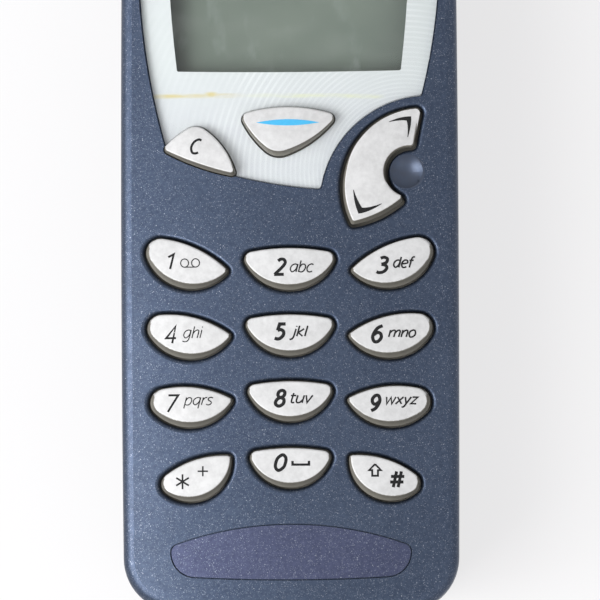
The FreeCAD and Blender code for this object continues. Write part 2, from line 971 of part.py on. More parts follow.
def lcd_frame():
    top = lcd_top + lcd_bezel
    outside = prism(lcd_plan(lcd_frame_wall + guide_gap), keypad_board_top, top)
    opening = prism(lcd_plan(-lcd_rim), keypad_board_top, top)
    return outside.cut([prism(lcd_plan(guide_gap), keypad_board_top, lcd_top), opening])


def lcd_glass():
    return prism(lcd_plan(0), lcd_top - lcd_thickness, lcd_top)


guide_top = lcd_top - lcd_thickness - guide_gap
guide_bottom = guide_top - guide_thickness
guide_foot_y = lcd_foot_y + zebra_depth + 2 * guide_gap


def light_guide():
    half = lcd_half_width - guide_gap
    plate = block((-half, half), (guide_foot_y, lcd_head_y), (guide_bottom, guide_top))
    seat = keypad_board_top
    feet = []
    for low, high in ((-half, guide_foot_width - half), (half - guide_foot_width, half)):
        feet.append(block((low, high), (guide_foot_y, lcd_head_y), (seat, guide_bottom)))
    return plate.fuse(feet)


def backlight_leds():
    y = (guide_foot_y + lcd_head_y) / 2
    low = keypad_board_top
    span = (low, low + min(led_size[2], guide_bottom - low - guide_gap))
    return [centred_block(x, y, led_size, span) for x in led_xs]


def lcd_connector():
    near = lcd_foot_y + guide_gap
    top = lcd_top - lcd_thickness
    half = zebra_half_length
    return block((-half, half), (near, near + zebra_depth), (keypad_board_top, top))


# Earpiece

def earpiece():
    low = keypad_board_top
    top = low + earpiece_height
    body = disc(0, earpiece_y, low, top, earpiece_radius)
    return body.cut(disc(0, earpiece_y, top - earpiece_dish, top, earpiece_radius - gasket_wall))


def earpiece_gasket():
    low = keypad_board_top + earpiece_height
    ring = disc(0, earpiece_y, low, gasket_top, earpiece_radius)
    return ring.cut(disc(0, earpiece_y, low, gasket_top, earpiece_radius - gasket_wall))


# Back form: the outside of the back half, or what lies a wall's thickness inside it

def back_form(inset):
    walls = taper(body_plan, 0, seam_height, -inset - back_draft, -inset)
    run = head_end + cutter_spill - slope_start
    hub_z = inset + slope_radius
    swept = math.asin(run / slope_radius)
    crest = Vector(-reach, slope_start, inset)
    bend = slope_point(swept / 2, hub_z)
    end = slope_point(swept, hub_z)
    curve = Part.Arc(crest, bend, end).toShape()
    high_end = Vector(-reach, end.y, seam_height + cutter_spill)
    high_start = Vector(-reach, -reach, seam_height + cutter_spill)
    outline = Part.makePolygon([end, high_end, high_start, Vector(-reach, -reach, inset), crest])
    side_view = Part.Face(Part.Wire([curve] + outline.Edges))
    shape = walls.common(side_view.extrude(Vector(2 * reach, 0, 0)))
    low_edges = []
    for edge in shape.Edges:
        box = edge.BoundBox
        crease = box.XLength > half_width and abs(box.YMin - slope_start) < slope_gap
        if box.ZMax < seam_height / 2 and not crease:
            low_edges.append(edge)
    return shape.makeFillet(back_edge_radius - inset, low_edges)


def slope_point(angle, hub_z):
    """Point of the back where it sweeps up towards the aerial end."""
    y = slope_start + slope_radius * math.sin(angle)
    return Vector(-reach, y, hub_z - slope_radius * math.cos(angle))


back_outside = back_form(0)
back_inside = back_form(back_wall)

# Chassis, boards and what they carry

screw_places = [(side * screw_x, y) for side in (-1, 1) for y in screw_ys]
screw_seat = bay_floor_bottom + screw_sink
screw_head_top = screw_seat + screw_head_height
screw_tip = screw_head_top + screw_length
connector_bottom = bay_floor_top - connector_sink
ferrule_foot_y = aerial_seat_y - ferrule_length
power_flange_y = head_end - back_wall - power_flange_gap


def body_ring(low, high, outer, inner):
    return prism(body_plan, low, high, -outer).cut(prism(body_plan, low, high, -inner))


def aerial_rod(radius, near, far):
    return rod(aerial_x, aerial_z, near, far, radius)


def connector_zone(top):
    """Room in the foot end for the connector block, with a gap at its sides and back."""
    half = connector_half + connector_gap
    depth = connector_depth + connector_gap
    return block((-half, half), (-reach, foot_end + depth), (connector_bottom, top))


def power_room():
    """Room behind the power key for its flange and stem."""
    half = power_half_length + power_flange + chassis_gap
    rise = power_half_height + power_flange + chassis_gap
    return block((power_x - half, power_x + half), (switch_y, head_end - back_wall),
                 (power_z - rise, power_z + rise))


def chassis():
    wall = body_ring(chassis_bottom, chassis_top, chassis_outer, chassis_inner)
    ledge = body_ring(main_board_top, keypad_board_bottom, chassis_outer,
                      chassis_outer + chassis_ledge)
    outline = prism(body_plan, chassis_bottom, chassis_top, -chassis_outer)
    frame = wall.fuse(ledge)
    thread = screw_radius + screw_thread_gap
    holes = []
    for x, y in screw_places:
        boss = disc(x, y, chassis_bottom, keypad_board_bottom, boss_radius)
        frame = frame.fuse(boss.common(outline))
        holes.append(disc(x, y, chassis_bottom, screw_tip + screw_thread_gap, thread))
    aerial_room = aerial_rod(aerial_boss_radius + chassis_gap, ferrule_foot_y, reach)
    return frame.cut(holes + [connector_zone(seam_height), aerial_room, power_room()])


def main_board():
    board = prism(body_plan, main_board_bottom, main_board_top, -board_inset)
    notch = boss_radius + boss_notch_gap
    return board.cut([disc(x, y, main_board_bottom, main_board_top, notch)
                      for x, y in screw_places])


def shield_can(half, ys):
    low = main_board_bottom - shield_height
    outside = rectangle(half, ys[0], ys[1], shield_corner)
    can = prism(outside, low, main_board_bottom)
    return can.cut(prism(outside, low + shield_wall, main_board_bottom, -shield_wall))


def under_board(x, y, size):
    """Block hung from the underside of the main board."""
    return centred_block(x, y, size, (main_board_bottom - size[2], main_board_bottom))


def board_chips():
    chips = [under_board(x, foot_end + rise, size)
             for size, x, rise in zip(chip_sizes, chip_xs, chip_rises)]
    rf_y = sum(rf_ys) / 2
    return chips + [under_board(x, rf_y, rf_chip_size) for x in rf_chip_xs]


def board_connector():
    return centred_block(0, link_y, link_size, (main_board_top, keypad_board_bottom))


def buzzer():
    low = main_board_bottom - buzzer_height
    body = disc(0, buzzer_y, low, main_board_bottom, buzzer_radius)
    return body.cut(disc(0, buzzer_y, low, low + buzzer_height / 2, buzzer_hole_radius))


# Back shell

def below(top):
    return block((-reach, reach), (-reach, reach), (-1, top))


def tongue():
    """Ring that stands up inside the front cover's walls."""
    top = seam_height + tongue_height
    low = seam_top - tongue_height
    ring = body_ring(low, top, tongue_outer, tongue_inner)
    root = body_ring(low, seam_top, back_wall / 2, tongue_inner)
    half = hook_width / 2 + hook_gap
    edge = half_width - cover_wall - hook_reach - hook_gap
    notches = []
    for side in (-1, 1):
        span = sorted((side * edge, side * half_width))
        for y in (-hook_y, hook_y):
            notches.append(block(span, (y - half, y + half),
                                 (seam_height + hook_rise - hook_gap, top)))
    return ring.fuse(root).cut(notches)


def power_bar(grow, near, far):
    """The power key's rounded section, run along the body."""
    section = rectangle(power_half_length + grow, -power_half_height - grow,
                        power_half_height + grow, power_end_radius + grow)
    return bar(section, power_x, power_z, near, far)


def lug_rod(side, radius, length):
    middle = side * lug_x
    start = Vector(middle - length / 2, pivot_y, battery_top + bay_gap / 2)
    return Part.makeCylinder(radius, length, start, Vector(1, 0, 0))


def latch_nose(grow, near, far):
    low = latch_nose_rise - grow
    half = latch_nose_half + grow
    return block((-half, half), (near, far), (low, low + latch_nose_height + 2 * grow))


def shell_openings():
    """Openings of the back shell for what passes through it."""
    bay_wall_y = battery_end_y + bay_gap
    half_x, half_y = [size / 2 + spring_block_gap for size in spring_block_size]
    found = [
        aerial_rod(ferrule_radius, ferrule_foot_y, aerial_seat_y),
        aerial_rod(aerial_radius + aerial_gap, aerial_seat_y, reach),
        power_bar(power_hole_gap, power_flange_y, reach),
        power_room(),
        connector_zone(seam_height),
        block((-half_x, half_x), (pad_y - half_y, pad_y + half_y), (0, main_board_bottom)),
        disc(port_place[0], port_place[1], 0, back_hole_depth, plug_radius + plug_gap),
        latch_nose(latch_gap, battery_end_y, bay_wall_y + keeper_depth),
    ]
    for x, y in screw_places:
        head_radius = screw_head_radius + screw_clearance
        found.append(disc(x, y, battery_top, screw_head_top, head_radius))
        found.append(disc(x, y, screw_head_top, chassis_bottom, screw_radius + screw_clearance))
    for side in (-1, 1):
        found.append(lug_rod(side, lug_radius + lug_gap, lug_length + 2 * bay_gap))
    for index in range(sounder_hole_count):
        x = (index - (sounder_hole_count - 1) / 2) * sounder_hole_pitch
        found.append(disc(x, buzzer_y, 0, back_hole_depth, buzzer_hole_radius))
    return found


def rear_cover():
    bay_wall_y = battery_end_y + bay_gap
    bay = block((-reach, reach), (-reach, bay_wall_y), (-1, bay_floor_bottom))
    head_room = block((-reach, reach), (bay_wall_y + back_wall, reach), (0, seam_height))
    board_room = block((-reach, reach), (-reach, reach), (bay_floor_top, seam_height))
    outer = back_outside.cut(bay).common(below(seam_top))
    shell = outer.cut(back_inside.common(head_room.fuse(board_room)))
    bosses = [disc(x, y, bay_floor_bottom, chassis_bottom, screw_radius + boss_wall)
              for x, y in screw_places]
    aerial_boss = aerial_rod(aerial_boss_radius, ferrule_foot_y, aerial_seat_y)
    shell = shell.fuse([tongue(), aerial_boss] + [boss.common(back_outside) for boss in bosses])
    return shell.cut(shell_openings())


def housing_screws():
    screws = []
    for x, y in screw_places:
        head = disc(x, y, screw_seat, screw_head_top, screw_head_radius)
        cross = screw_slot_length / 2
        width = screw_slot_width / 2
        depth = (screw_seat, screw_seat + screw_slot_depth)
        slots = [block((x - cross, x + cross), (y - width, y + width), depth),
                 block((x - width, x + width), (y - cross, y + cross), depth)]
        shank = disc(x, y, screw_head_top, screw_tip, screw_radius)
        screws.append(head.fuse(shank).cut(slots))
    return screws


# Battery, its latch and what it presses on

lid_bottom = battery_top - battery_lid_thickness
latch_near_y = battery_end_y - latch_end_wall - latch_gap - latch_length
latch_top = latch_rise + latch_height
pocket_near_y = latch_near_y - latch_travel - latch_gap
pocket_top = latch_top + latch_gap


def battery_form(inset, top):
    """Back form over the battery's length, inside its walls, up to a height."""
    zone = block((-reach, reach), (-reach, battery_end_y - inset), (-1, top))
    return back_form(inset).common(zone)


def battery_case():
    shell = battery_form(0, lid_bottom).cut(battery_form(battery_wall, lid_bottom))
    opening = latch_half_width + latch_gap
    groove = opening + latch_flange_reach
    half = groove + latch_pocket_wall
    housing = block((-half, half), (pocket_near_y - latch_pocket_wall, battery_end_y),
                    (0, pocket_top + latch_pocket_wall))
    pocket_y = (pocket_near_y, battery_end_y - latch_end_wall)
    groove_low = latch_top - latch_flange_height - latch_gap
    return shell.fuse(housing).cut([
        block((-opening, opening), pocket_y, (-1, pocket_top)),
        block((-groove, groove), pocket_y, (groove_low, pocket_top)),
        latch_nose(latch_gap, pocket_near_y, reach),
    ])


def battery_lid():
    plate = battery_form(0, battery_top).cut(below(lid_bottom))
    run = -foot_end + pivot_y
    pivot_z = battery_top + bay_gap / 2
    drop = 2 * run * math.tan(math.radians(battery_swing + lid_relief))
    corner = Vector(-half_width, pivot_y, pivot_z)
    points = [corner, corner + Vector(0, -2 * run, -drop), corner + Vector(0, -2 * run, 0), corner]
    relief = Part.Face(Part.makePolygon(points)).extrude(Vector(body_width, 0, 0))
    lugs = [lug_rod(side, lug_radius, lug_length) for side in (-1, 1)]
    return plate.cut(relief).fuse(lugs).cut(battery_contacts())


def battery_contacts():
    low = battery_top - pad_size[2]
    return [centred_block(x, pad_y, pad_size, (low, battery_top)) for x in pad_xs]


def battery_cells():
    width = (body_width - 2 * cell_side_room) / 3
    height = lid_bottom - battery_wall - cell_top_room
    section = rectangle(width / 2, 0, height, height / 2 - cell_edge_flat)
    pitch = width + cell_gap
    return [bar(section, index * pitch, battery_wall, cell_foot_y, battery_end_y - cell_head_room)
            for index in (-1, 0, 1)]


def battery_latch():
    body_end = latch_near_y + latch_length
    half = latch_half_width
    slider = block((-half, half), (latch_near_y, body_end), (latch_rise, latch_top))
    wide = half + latch_flange_reach
    flange = block((-wide, wide), (latch_near_y, body_end),
                   (latch_top - latch_flange_height, latch_top))
    tip = battery_end_y + bay_gap - latch_nose_gap
    shape = slider.fuse([flange, latch_nose(0, body_end - grip_width, tip)])
    pitch = latch_length / (grip_count + 1)
    grooves = []
    for index in range(grip_count):
        middle = latch_near_y + (index + 1) * pitch
        grooves.append(block((-half, half), (middle - grip_width / 2, middle + grip_width / 2),
                             (latch_rise, latch_rise + grip_depth)))
    return shape.cut(grooves)


def spring_slot(x):
    half = spring_width / 2 + spring_slot_gap
    deep = spring_bend_radius + spring_slot_gap
    return block((x - half, x + half), (pad_y - deep, pad_y + deep),
                 (battery_top, main_board_bottom))


def battery_connector():
    low = battery_top + spring_gap + spring_reach
    body = centred_block(0, pad_y, spring_block_size, (low, main_board_bottom))
    return body.cut([spring_slot(x) for x in pad_xs])


def contact_springs():
    springs = []
    for x in pad_xs:
        left = x - spring_width / 2
        bend_z = battery_top + spring_gap + spring_bend_radius
        hub = Vector(left, pad_y, bend_z)
        along = Vector(1, 0, 0)
        outer = Part.makeCylinder(spring_bend_radius, spring_width, hub, along)
        inner = Part.makeCylinder(spring_bend_radius - spring_sheet, spring_width, hub, along)
        bend = outer.cut(inner).common(below(bend_z))
        span = (left, left + spring_width)
        far = pad_y + spring_bend_radius
        near = pad_y - spring_bend_radius
        leg = block(span, (far - spring_sheet, far), (bend_z, main_board_bottom))
        tail = block(span, (near, near + spring_sheet), (bend_z, bend_z + spring_bend_radius))
        springs.append(bend.fuse([leg, tail]))
    return springs


# Aerial

def antenna_sheath():
    far = aerial_seat_y + aerial_length
    start = Vector(aerial_x, aerial_seat_y, aerial_z)
    shape = Part.makeCone(aerial_radius, aerial_tip_radius, aerial_length, start, Vector(0, 1, 0))
    tip = [edge for edge in shape.Edges if edge.BoundBox.YMin > far - aerial_gap]
    shape = shape.makeFillet(aerial_tip_round, tip)
    bore = aerial_tip_radius - aerial_wall
    return shape.cut(aerial_rod(bore, aerial_seat_y, aerial_seat_y + coil_length))


def antenna_coil():
    radius = aerial_tip_radius - aerial_wall
    far = aerial_seat_y + coil_length
    return aerial_rod(radius, aerial_seat_y, far).cut(
        aerial_rod(radius - coil_wall, aerial_seat_y, far))


def antenna_ferrule():
    tube = aerial_rod(ferrule_radius, ferrule_foot_y, aerial_seat_y)
    return tube.cut(aerial_rod(ferrule_bore, ferrule_foot_y, aerial_seat_y))


def antenna_clip():
    span = (aerial_x - clip_width / 2, aerial_x + clip_width / 2)
    far = ferrule_foot_y
    low = aerial_z - ferrule_radius
    upright = block(span, (far - clip_thickness, far), (low, main_board_bottom))
    foot = block(span, (far - clip_foot, far), (main_board_bottom - clip_thickness, main_board_bottom))
    return upright.fuse(foot)


# Power key and its switch

def power_key():
    head = power_bar(0, power_flange_y - power_flange_thickness, head_end + 2 * power_proud)
    head = head.common(back_form(-power_proud))
    near = power_flange_y - power_flange_thickness
    flange = power_bar(power_flange, near, power_flange_y)
    button_end = switch_y + switch_size[1] / 2 + switch_button_length
    stem = rod(power_x, power_z, button_end + key_travel + key_play, near, power_stem_radius)
    return head.fuse([flange, stem])


def power_switch():
    body = under_board(power_x, switch_y, switch_size)
    far = switch_y + switch_size[1] / 2
    button = rod(power_x, power_z, far, far + switch_button_length, switch_button_radius)
    return body.fuse(button)


# Aerial socket on the back

def rf_port():
    x, y = port_place
    low = disc(x, y, 0, seam_top, port_radius).common(back_form(plug_thickness))
    tube = low.fuse(disc(x, y, chassis_bottom, main_board_bottom, port_radius))
    return tube.cut(disc(x, y, 0, main_board_bottom, port_bore))


def rf_port_plug():
    x, y = port_place
    plug = disc(x, y, 0, back_hole_depth, plug_radius).common(back_outside)
    return plug.cut(back_form(plug_thickness))


# Bottom end

socket_low = jack_z - socket_height / 2
boot_radius = mic_radius + boot_wall
boot_near_y = foot_end + mic_front_wall


def system_connector():
    back = foot_end + connector_depth
    half = connector_half
    low = block((-half, half), (-reach, back), (connector_bottom, seam_top))
    high = block((-half, half), (connector_step_y, back), (seam_top, main_board_bottom))
    body = low.common(back_form(connector_recess)).fuse(high)
    mouth = rod(0, jack_z, -reach, foot_end + jack_depth, jack_radius)
    socket = block(socket_xs, (-reach, foot_end + socket_depth),
                   (socket_low, socket_low + socket_height))
    pocket = rod(mic_x, jack_z, boot_near_y, back, boot_radius)
    port = rod(mic_x, jack_z, -reach, boot_near_y, mic_port_radius)
    return body.cut([mouth, socket, pocket, port])


def charger_jack():
    far = foot_end + jack_depth
    near = foot_end + connector_recess + jack_front_step
    sleeve = rod(0, jack_z, near, far, jack_radius)
    collar = rod(0, jack_z, near, near + jack_collar_depth, jack_collar)
    bore = rod(0, jack_z, near, far - jack_back_wall, jack_bore)
    pin = rod(0, jack_z, near + jack_pin_setback, far, jack_pin_radius)
    return sleeve.cut([collar, bore]).fuse(pin)


def connector_contacts():
    near = foot_end + contact_setback
    far = foot_end + socket_depth
    pitch = (socket_xs[1] - socket_xs[0]) / contact_count
    found = []
    for index in range(contact_count):
        x = socket_xs[0] + (index + 0.5) * pitch
        found.append(block((x - contact_width / 2, x + contact_width / 2), (near, far),
                           (socket_low, socket_low + contact_thickness)))
    return found


def microphone_boot():
    tube = rod(mic_x, jack_z, boot_near_y, boot_near_y + boot_length, boot_radius)
    return tube.cut(rod(mic_x, jack_z, boot_near_y, boot_near_y + boot_length, mic_radius))


def microphone():
    near = boot_near_y + boot_length - mic_length
    return rod(mic_x, jack_z, near, near + mic_length, mic_radius)


os.makedirs("parts", exist_ok=True)

save("front_cover", front_cover())
save("display_window", display_window())
save("display_trim", display_trim())
save("cover_badge", cover_badge())
save("earpiece_screen", earpiece_screen())
for key_name in keys:
    save(key_name, key_solid(key_name))
save("keymat", keymat())
save("key_domes", [snap_dome(x, y) for x, y in plunger_points()])
save("dome_film", dome_film())
save("keypad_board", keypad_board())
save("lcd_frame", lcd_frame())
save("lcd_glass", lcd_glass())
save("light_guide", light_guide())
save("backlight_leds", backlight_leds())
save("lcd_connector", lcd_connector())
save("earpiece", earpiece())
save("earpiece_gasket", earpiece_gasket())
save("chassis", chassis())
save("main_board", main_board())
save("baseband_shield", shield_can(baseband_half, baseband_ys))
save("rf_shield", shield_can(rf_half, rf_ys))
save("board_chips", board_chips())
save("board_connector", board_connector())
save("buzzer", buzzer())
save("rear_cover", rear_cover())
save("housing_screws", housing_screws())
save("battery_case", battery_case())
save("battery_lid", battery_lid())
save("battery_contacts", battery_contacts())
save("battery_cells", battery_cells())
save("battery_latch", battery_latch())
save("battery_connector", battery_connector())
save("contact_springs", contact_springs())
save("antenna_sheath", antenna_sheath())
save("antenna_coil", antenna_coil())
save("antenna_ferrule", antenna_ferrule())
save("antenna_clip", antenna_clip())
save("power_key", power_key())
save("power_switch", power_switch())
save("rf_port", rf_port())
save("rf_port_plug", rf_port_plug())
save("system_connector", system_connector())
save("charger_jack", charger_jack())
save("connector_contacts", connector_contacts())
save("microphone", microphone())
save("microphone_boot", microphone_boot())
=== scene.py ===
import bmesh
import bpy
import math
from mathutils import Matrix, Vector
from mathutils.bvhtree import BVHTree


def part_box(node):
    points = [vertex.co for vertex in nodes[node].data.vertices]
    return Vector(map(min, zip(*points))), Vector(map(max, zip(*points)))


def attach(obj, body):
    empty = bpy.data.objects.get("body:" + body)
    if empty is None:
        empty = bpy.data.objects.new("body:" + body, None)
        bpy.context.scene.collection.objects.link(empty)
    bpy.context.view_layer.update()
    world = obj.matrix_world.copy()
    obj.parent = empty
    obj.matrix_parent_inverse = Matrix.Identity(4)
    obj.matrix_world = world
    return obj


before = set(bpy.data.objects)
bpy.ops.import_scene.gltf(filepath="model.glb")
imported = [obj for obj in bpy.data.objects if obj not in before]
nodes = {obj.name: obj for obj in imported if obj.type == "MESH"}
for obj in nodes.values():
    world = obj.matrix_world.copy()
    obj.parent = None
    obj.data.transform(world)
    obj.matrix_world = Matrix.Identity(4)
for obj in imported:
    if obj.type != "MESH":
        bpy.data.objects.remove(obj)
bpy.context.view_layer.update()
mm = 0.001
print("phone frame loaded:", len(nodes), "nodes")


def addNode(tree, kind, sockets=None, **settings):
    # Each socket is joined to another node's socket, or gets a value
    node = tree.nodes.new(kind)
    for key, value in settings.items():
        setattr(node, key, value)
    for key, value in (sockets or {}).items():
        if isinstance(value, bpy.types.NodeSocket):
            tree.links.new(value, node.inputs[key])
        else:
            node.inputs[key].default_value = value
    return node


class Nodes:
    # What finishes and grown pieces share: a tree, and sums in it
    def add(self, kind, sockets=None, **settings):
        return addNode(self.tree, "ShaderNode" + kind, sockets, **settings)

    def calc(self, operation, first, second=0.0, clamp=False):
        node = self.add("Math", {0: first, 1: second}, operation=operation, use_clamp=clamp)
        return node.outputs[0]

    def times(self, first, second):
        return self.calc("MULTIPLY", first, second)

    def axes(self, source):
        return self.add("SeparateXYZ", {"Vector": source}).outputs


class Finish(Nodes):
    # One procedural finish. Patterns read object coordinates, turned into millimetres.
    def __init__(self, name):
        self.material = bpy.data.materials.new(name)
        self.material.use_nodes = True
        self.tree = self.material.node_tree
        self.tree.nodes.clear()
        self.coordinates = self.add("TexCoord")
        self.place = self.mapped((1000, 1000, 1000))

    def mapped(self, scale, location=(0, 0, 0), turn=0.0):
        sockets = {"Vector": self.coordinates.outputs["Object"], "Location": location,
                   "Scale": scale, "Rotation": (0, 0, turn)}
        return self.add("Mapping", sockets).outputs["Vector"]

    def distanceFrom(self, place, stretch=1.0):
        # Millimetres from an upright line through a place, with X stretched
        moved = self.mapped((1000 * stretch, 1000, 0), (-place[0] * stretch, -place[1], 0))
        return self.add("VectorMath", {0: moved}, operation="LENGTH").outputs["Value"]

    def noise(self, size, detail=2.0, roughness=0.5, source=None):
        sockets = {"Vector": source or self.place, "Scale": 1 / size, "Detail": detail,
                   "Roughness": roughness}
        return self.add("TexNoise", sockets).outputs["Fac"]

    def clouds(self, pattern, low, high, toLow=0.0, toHigh=1.0, source=None):
        # A pattern holds a noise's size in millimetres, its detail and its roughness
        return self.spread(self.noise(*pattern, source=source), low, high, toLow, toHigh)

    def cells(self, size):
        return self.add("TexVoronoi", {"Vector": self.place, "Scale": 1 / size}).outputs

    def highest(self, values):
        top = values[0]
        for value in values[1:]:
            top = self.calc("MAXIMUM", top, value)
        return top

    def spread(self, value, low, high, toLow=0.0, toHigh=1.0):
        sockets = {"Value": value, "From Min": low, "From Max": high, "To Min": toLow,
                   "To Max": toHigh}
        return self.add("MapRange", sockets).outputs["Result"]

    def blend(self, factor, first, second):
        colours = [value if isinstance(value, bpy.types.NodeSocket) else (*value, 1.0)
                   for value in (first, second)]
        sockets = {0: factor, 6: colours[0], 7: colours[1]}
        return self.add("Mix", sockets, data_type="RGBA").outputs[2]

    def facing(self):
        # How far the surface looks along each of the phone's own axes, from -1 to 1
        return self.axes(self.coordinates.outputs["Normal"])

    def bump(self, height, depth):
        sockets = {"Height": height, "Strength": 1.0, "Distance": depth * mm}
        return self.add("Bump", sockets).outputs["Normal"]

    def mix(self, share, first, second):
        sockets = {"Fac": share, 1: first.outputs[0], 2: second.outputs[0]}
        return self.add("MixShader", sockets)

    def shade(self, sockets):
        return self.end(self.add("BsdfPrincipled", sockets))

    def end(self, shader):
        self.add("OutputMaterial", {"Surface": shader.outputs[0]})
        return self.material


coverLook = {
    "deep": (0.030, 0.044, 0.078), "pale": (0.053, 0.073, 0.118), "mottle": (0.50, 3.0, 0.65),
    "cloud": (17.0, 1.0), "cloudShare": 0.12,
    # Each kind of flake: its size, and the share of places that have none
    "flake": (0.25, 0.275, 0.335), "flakes": ((0.105, 0.76), (0.19, 0.94)),
    "flakeFade": (0.28, 0.50),
    "bowl": (0.058, 0.066, 0.090), "bowlPlace": (16.4, -5.2), "bowlRim": (2.34, 2.42),
    "rubbing": (1.1, 2.0), "inside": (0.020, 0.022, 0.028), "insideFacing": (-0.02, -0.005),
    "metallic": 0.88, "roughness": (0.39, 0.48), "sheen": (2.2, 2.0),
    "ripple": (0.9, 1.0), "rippleDepth": 0.004, "coat": 0.20, "coatRoughness": 0.24,
}


def flakePaint(name, look):
    finish = Finish(name)
    spots = []
    for size, plainShare in look["flakes"]:
        cell = finish.cells(size)
        chance = finish.add("SeparateColor", {"Color": cell["Color"]}).outputs["Red"]
        glint = finish.spread(chance, plainShare, 1.0)
        dot = finish.spread(cell["Distance"], *look["flakeFade"], 1.0, 0.0)
        spots.append(finish.times(glint, dot))
    flakes = finish.highest(spots)
    mottle = finish.clouds(look["mottle"], 0.25, 0.75)
    cloud = finish.clouds(look["cloud"], 0.35, 0.65, -look["cloudShare"], look["cloudShare"])
    tone = finish.calc("ADD", mottle, cloud, clamp=True)
    paint = finish.blend(tone, look["deep"], look["pale"])
    paint = finish.blend(flakes, paint, look["flake"])
    # The thumb bowl is rubbed smooth and grey
    inBowl = finish.spread(finish.distanceFrom(look["bowlPlace"]), *look["bowlRim"], 1.0, 0.0)
    rubbed = finish.blend(finish.noise(*look["rubbing"]), look["bowl"], look["pale"])
    paint = finish.blend(inBowl, paint, rubbed)
    # The cover's inner side, which looks down, is bare dark plastic
    outside = finish.spread(finish.facing()["Z"], *look["insideFacing"])
    return finish.shade({
        "Base Color": finish.blend(outside, look["inside"], paint),
        "Metallic": finish.times(outside, look["metallic"]),
        "Roughness": finish.clouds(look["sheen"], 0.3, 0.7, *look["roughness"]),
        "Normal": finish.bump(finish.noise(*look["ripple"]), look["rippleDepth"]),
        "Coat Weight": look["coat"], "Coat Roughness": look["coatRoughness"]})


badgeLook = {**coverLook, "deep": (0.039, 0.047, 0.093), "pale": (0.066, 0.076, 0.139)}

# The cover's face: its highest line and how fast it falls off along and across the phone
faceForm = {"top": 30.0, "crownY": 12.0, "alongFall": 800.0, "crossFall": 140.0}


def aboveFace(finish, form):
    # Millimetres above the cover's face, read from the place in the phone
    axes = finish.axes(finish.place)
    fall = finish.calc("SUBTRACT", axes["Z"], form["top"])
    fromCrown = finish.calc("SUBTRACT", axes["Y"], form["crownY"])
    for away, radius in ((fromCrown, form["alongFall"]), (axes["X"], form["crossFall"])):
        square = finish.times(away, away)
        fall = finish.calc("ADD", fall, finish.calc("DIVIDE", square, 2 * radius))
    return fall


keyLook = {
    "face": (0.580, 0.580, 0.585), "bright": (0.690, 0.690, 0.697), "pearl": (0.9, 3.0, 0.65),
    "drift": (5.0, 1.0), "driftShare": 0.25,
    # The bare wall's colour at its top, and a lighter colour at its foot that is painted light
    # against the shade deep in the gap
    "wall": (0.100, 0.093, 0.076), "wallDeepPaintedLight": (0.26, 0.245, 0.21), "wallFoot": -0.45,
    "wallTop": 0.85, "stain": (1.2, 2.0), "stainLeast": 0.80,
    # Where the lacquer begins: how high, how level, and how far over the rim's upper side
    "lacquerRise": (-0.60, -0.40), "lacquerTilt": (0.84, 0.94), "upperSide": (0.15, 0.50),
    "upperSideGain": 0.5,
    "metallic": 0.08, "roughness": (0.34, 0.42), "grain": (0.30, 2.0), "grainDepth": 0.006,
}


def keyPearl(name, look):
    finish = Finish(name)
    pearl = finish.clouds(look["pearl"], 0.30, 0.70)
    drift = finish.clouds(look["drift"], 0.35, 0.65, -look["driftShare"], look["driftShare"])
    face = finish.calc("ADD", pearl, drift, clamp=True)
    face = finish.blend(face, look["face"], look["bright"])
    rise = aboveFace(finish, faceForm)
    # Painted light: the bare wall is coloured lighter the deeper it lies in the gap round the
    # key, to offset the shade there; noise patches shift it further towards the lighter colour
    depth = finish.spread(rise, look["wallFoot"], look["wallTop"])
    stain = finish.clouds(look["stain"], 0.30, 0.70, look["stainLeast"], 1.0)
    wall = finish.blend(finish.times(depth, stain), look["wallDeepPaintedLight"], look["wall"])
    # Only the part that stands out of the cover is lacquered, and worn off along its lower
    # rim; the wall below is bare and brownish
    normal = finish.facing()
    upperSide = finish.spread(normal["Y"], *look["upperSide"], 0.0, look["upperSideGain"])
    level = finish.spread(finish.calc("ADD", normal["Z"], upperSide), *look["lacquerTilt"])
    lacquer = finish.times(level, finish.spread(rise, *look["lacquerRise"]))
    return finish.shade({
        "Base Color": finish.blend(lacquer, wall, face),
        "Metallic": finish.times(lacquer, look["metallic"]),
        "Roughness": finish.spread(pearl, 0, 1, *look["roughness"]),
        "Normal": finish.bump(finish.noise(*look["grain"]), look["grainDepth"])})


trimLook = {
    "above": (0.662, 0.700, 0.700), "below": (0.630, 0.650, 0.679), "changeY": (1.0, 10.0),
    "pale": (0.676, 0.706, 0.715), "patch": (2.5, 3.0, 0.7), "patchShow": 0.6,
    # The rings' lighter colour on their crests is painted sheen
    "ring": (0.83, 0.855, 0.865), "ringPlace": (16.4, -5.2), "ringCount": 15.5,
    "ringPower": 0.45, "ringSheenShow": 0.55, "ringPatch": (7.0, 2.0), "ringLeast": 0.30,
    "ringFadeX": (-15.0, -6.0), "ringFadeLeast": 0.25, "ringDepth": 0.003,
    "glue": (0.66, 0.57, 0.27), "paleGlue": (0.72, 0.75, 0.54), "glueY": 5.48, "glueLean": 0.009,
    "glueCore": 0.08, "glueHalfWidth": 0.42, "gluePatch": (1.0, 3.0, 0.6),
    "gluePatchScale": (260, 1500, 1), "gluePatchLeast": 0.25,
    "yellowX": (-6.0, -9.0), "yellowShow": 0.90, "paleX": (-7.0, -2.0), "paleShow": 0.85,
    "glueEndX": (13.5, 12.0), "glueBlob": (-10.8, 5.75), "blobStretch": 0.4,
    "blobRim": (0.15, 0.50), "roughness": 0.60, "gloss": 0.2,
}


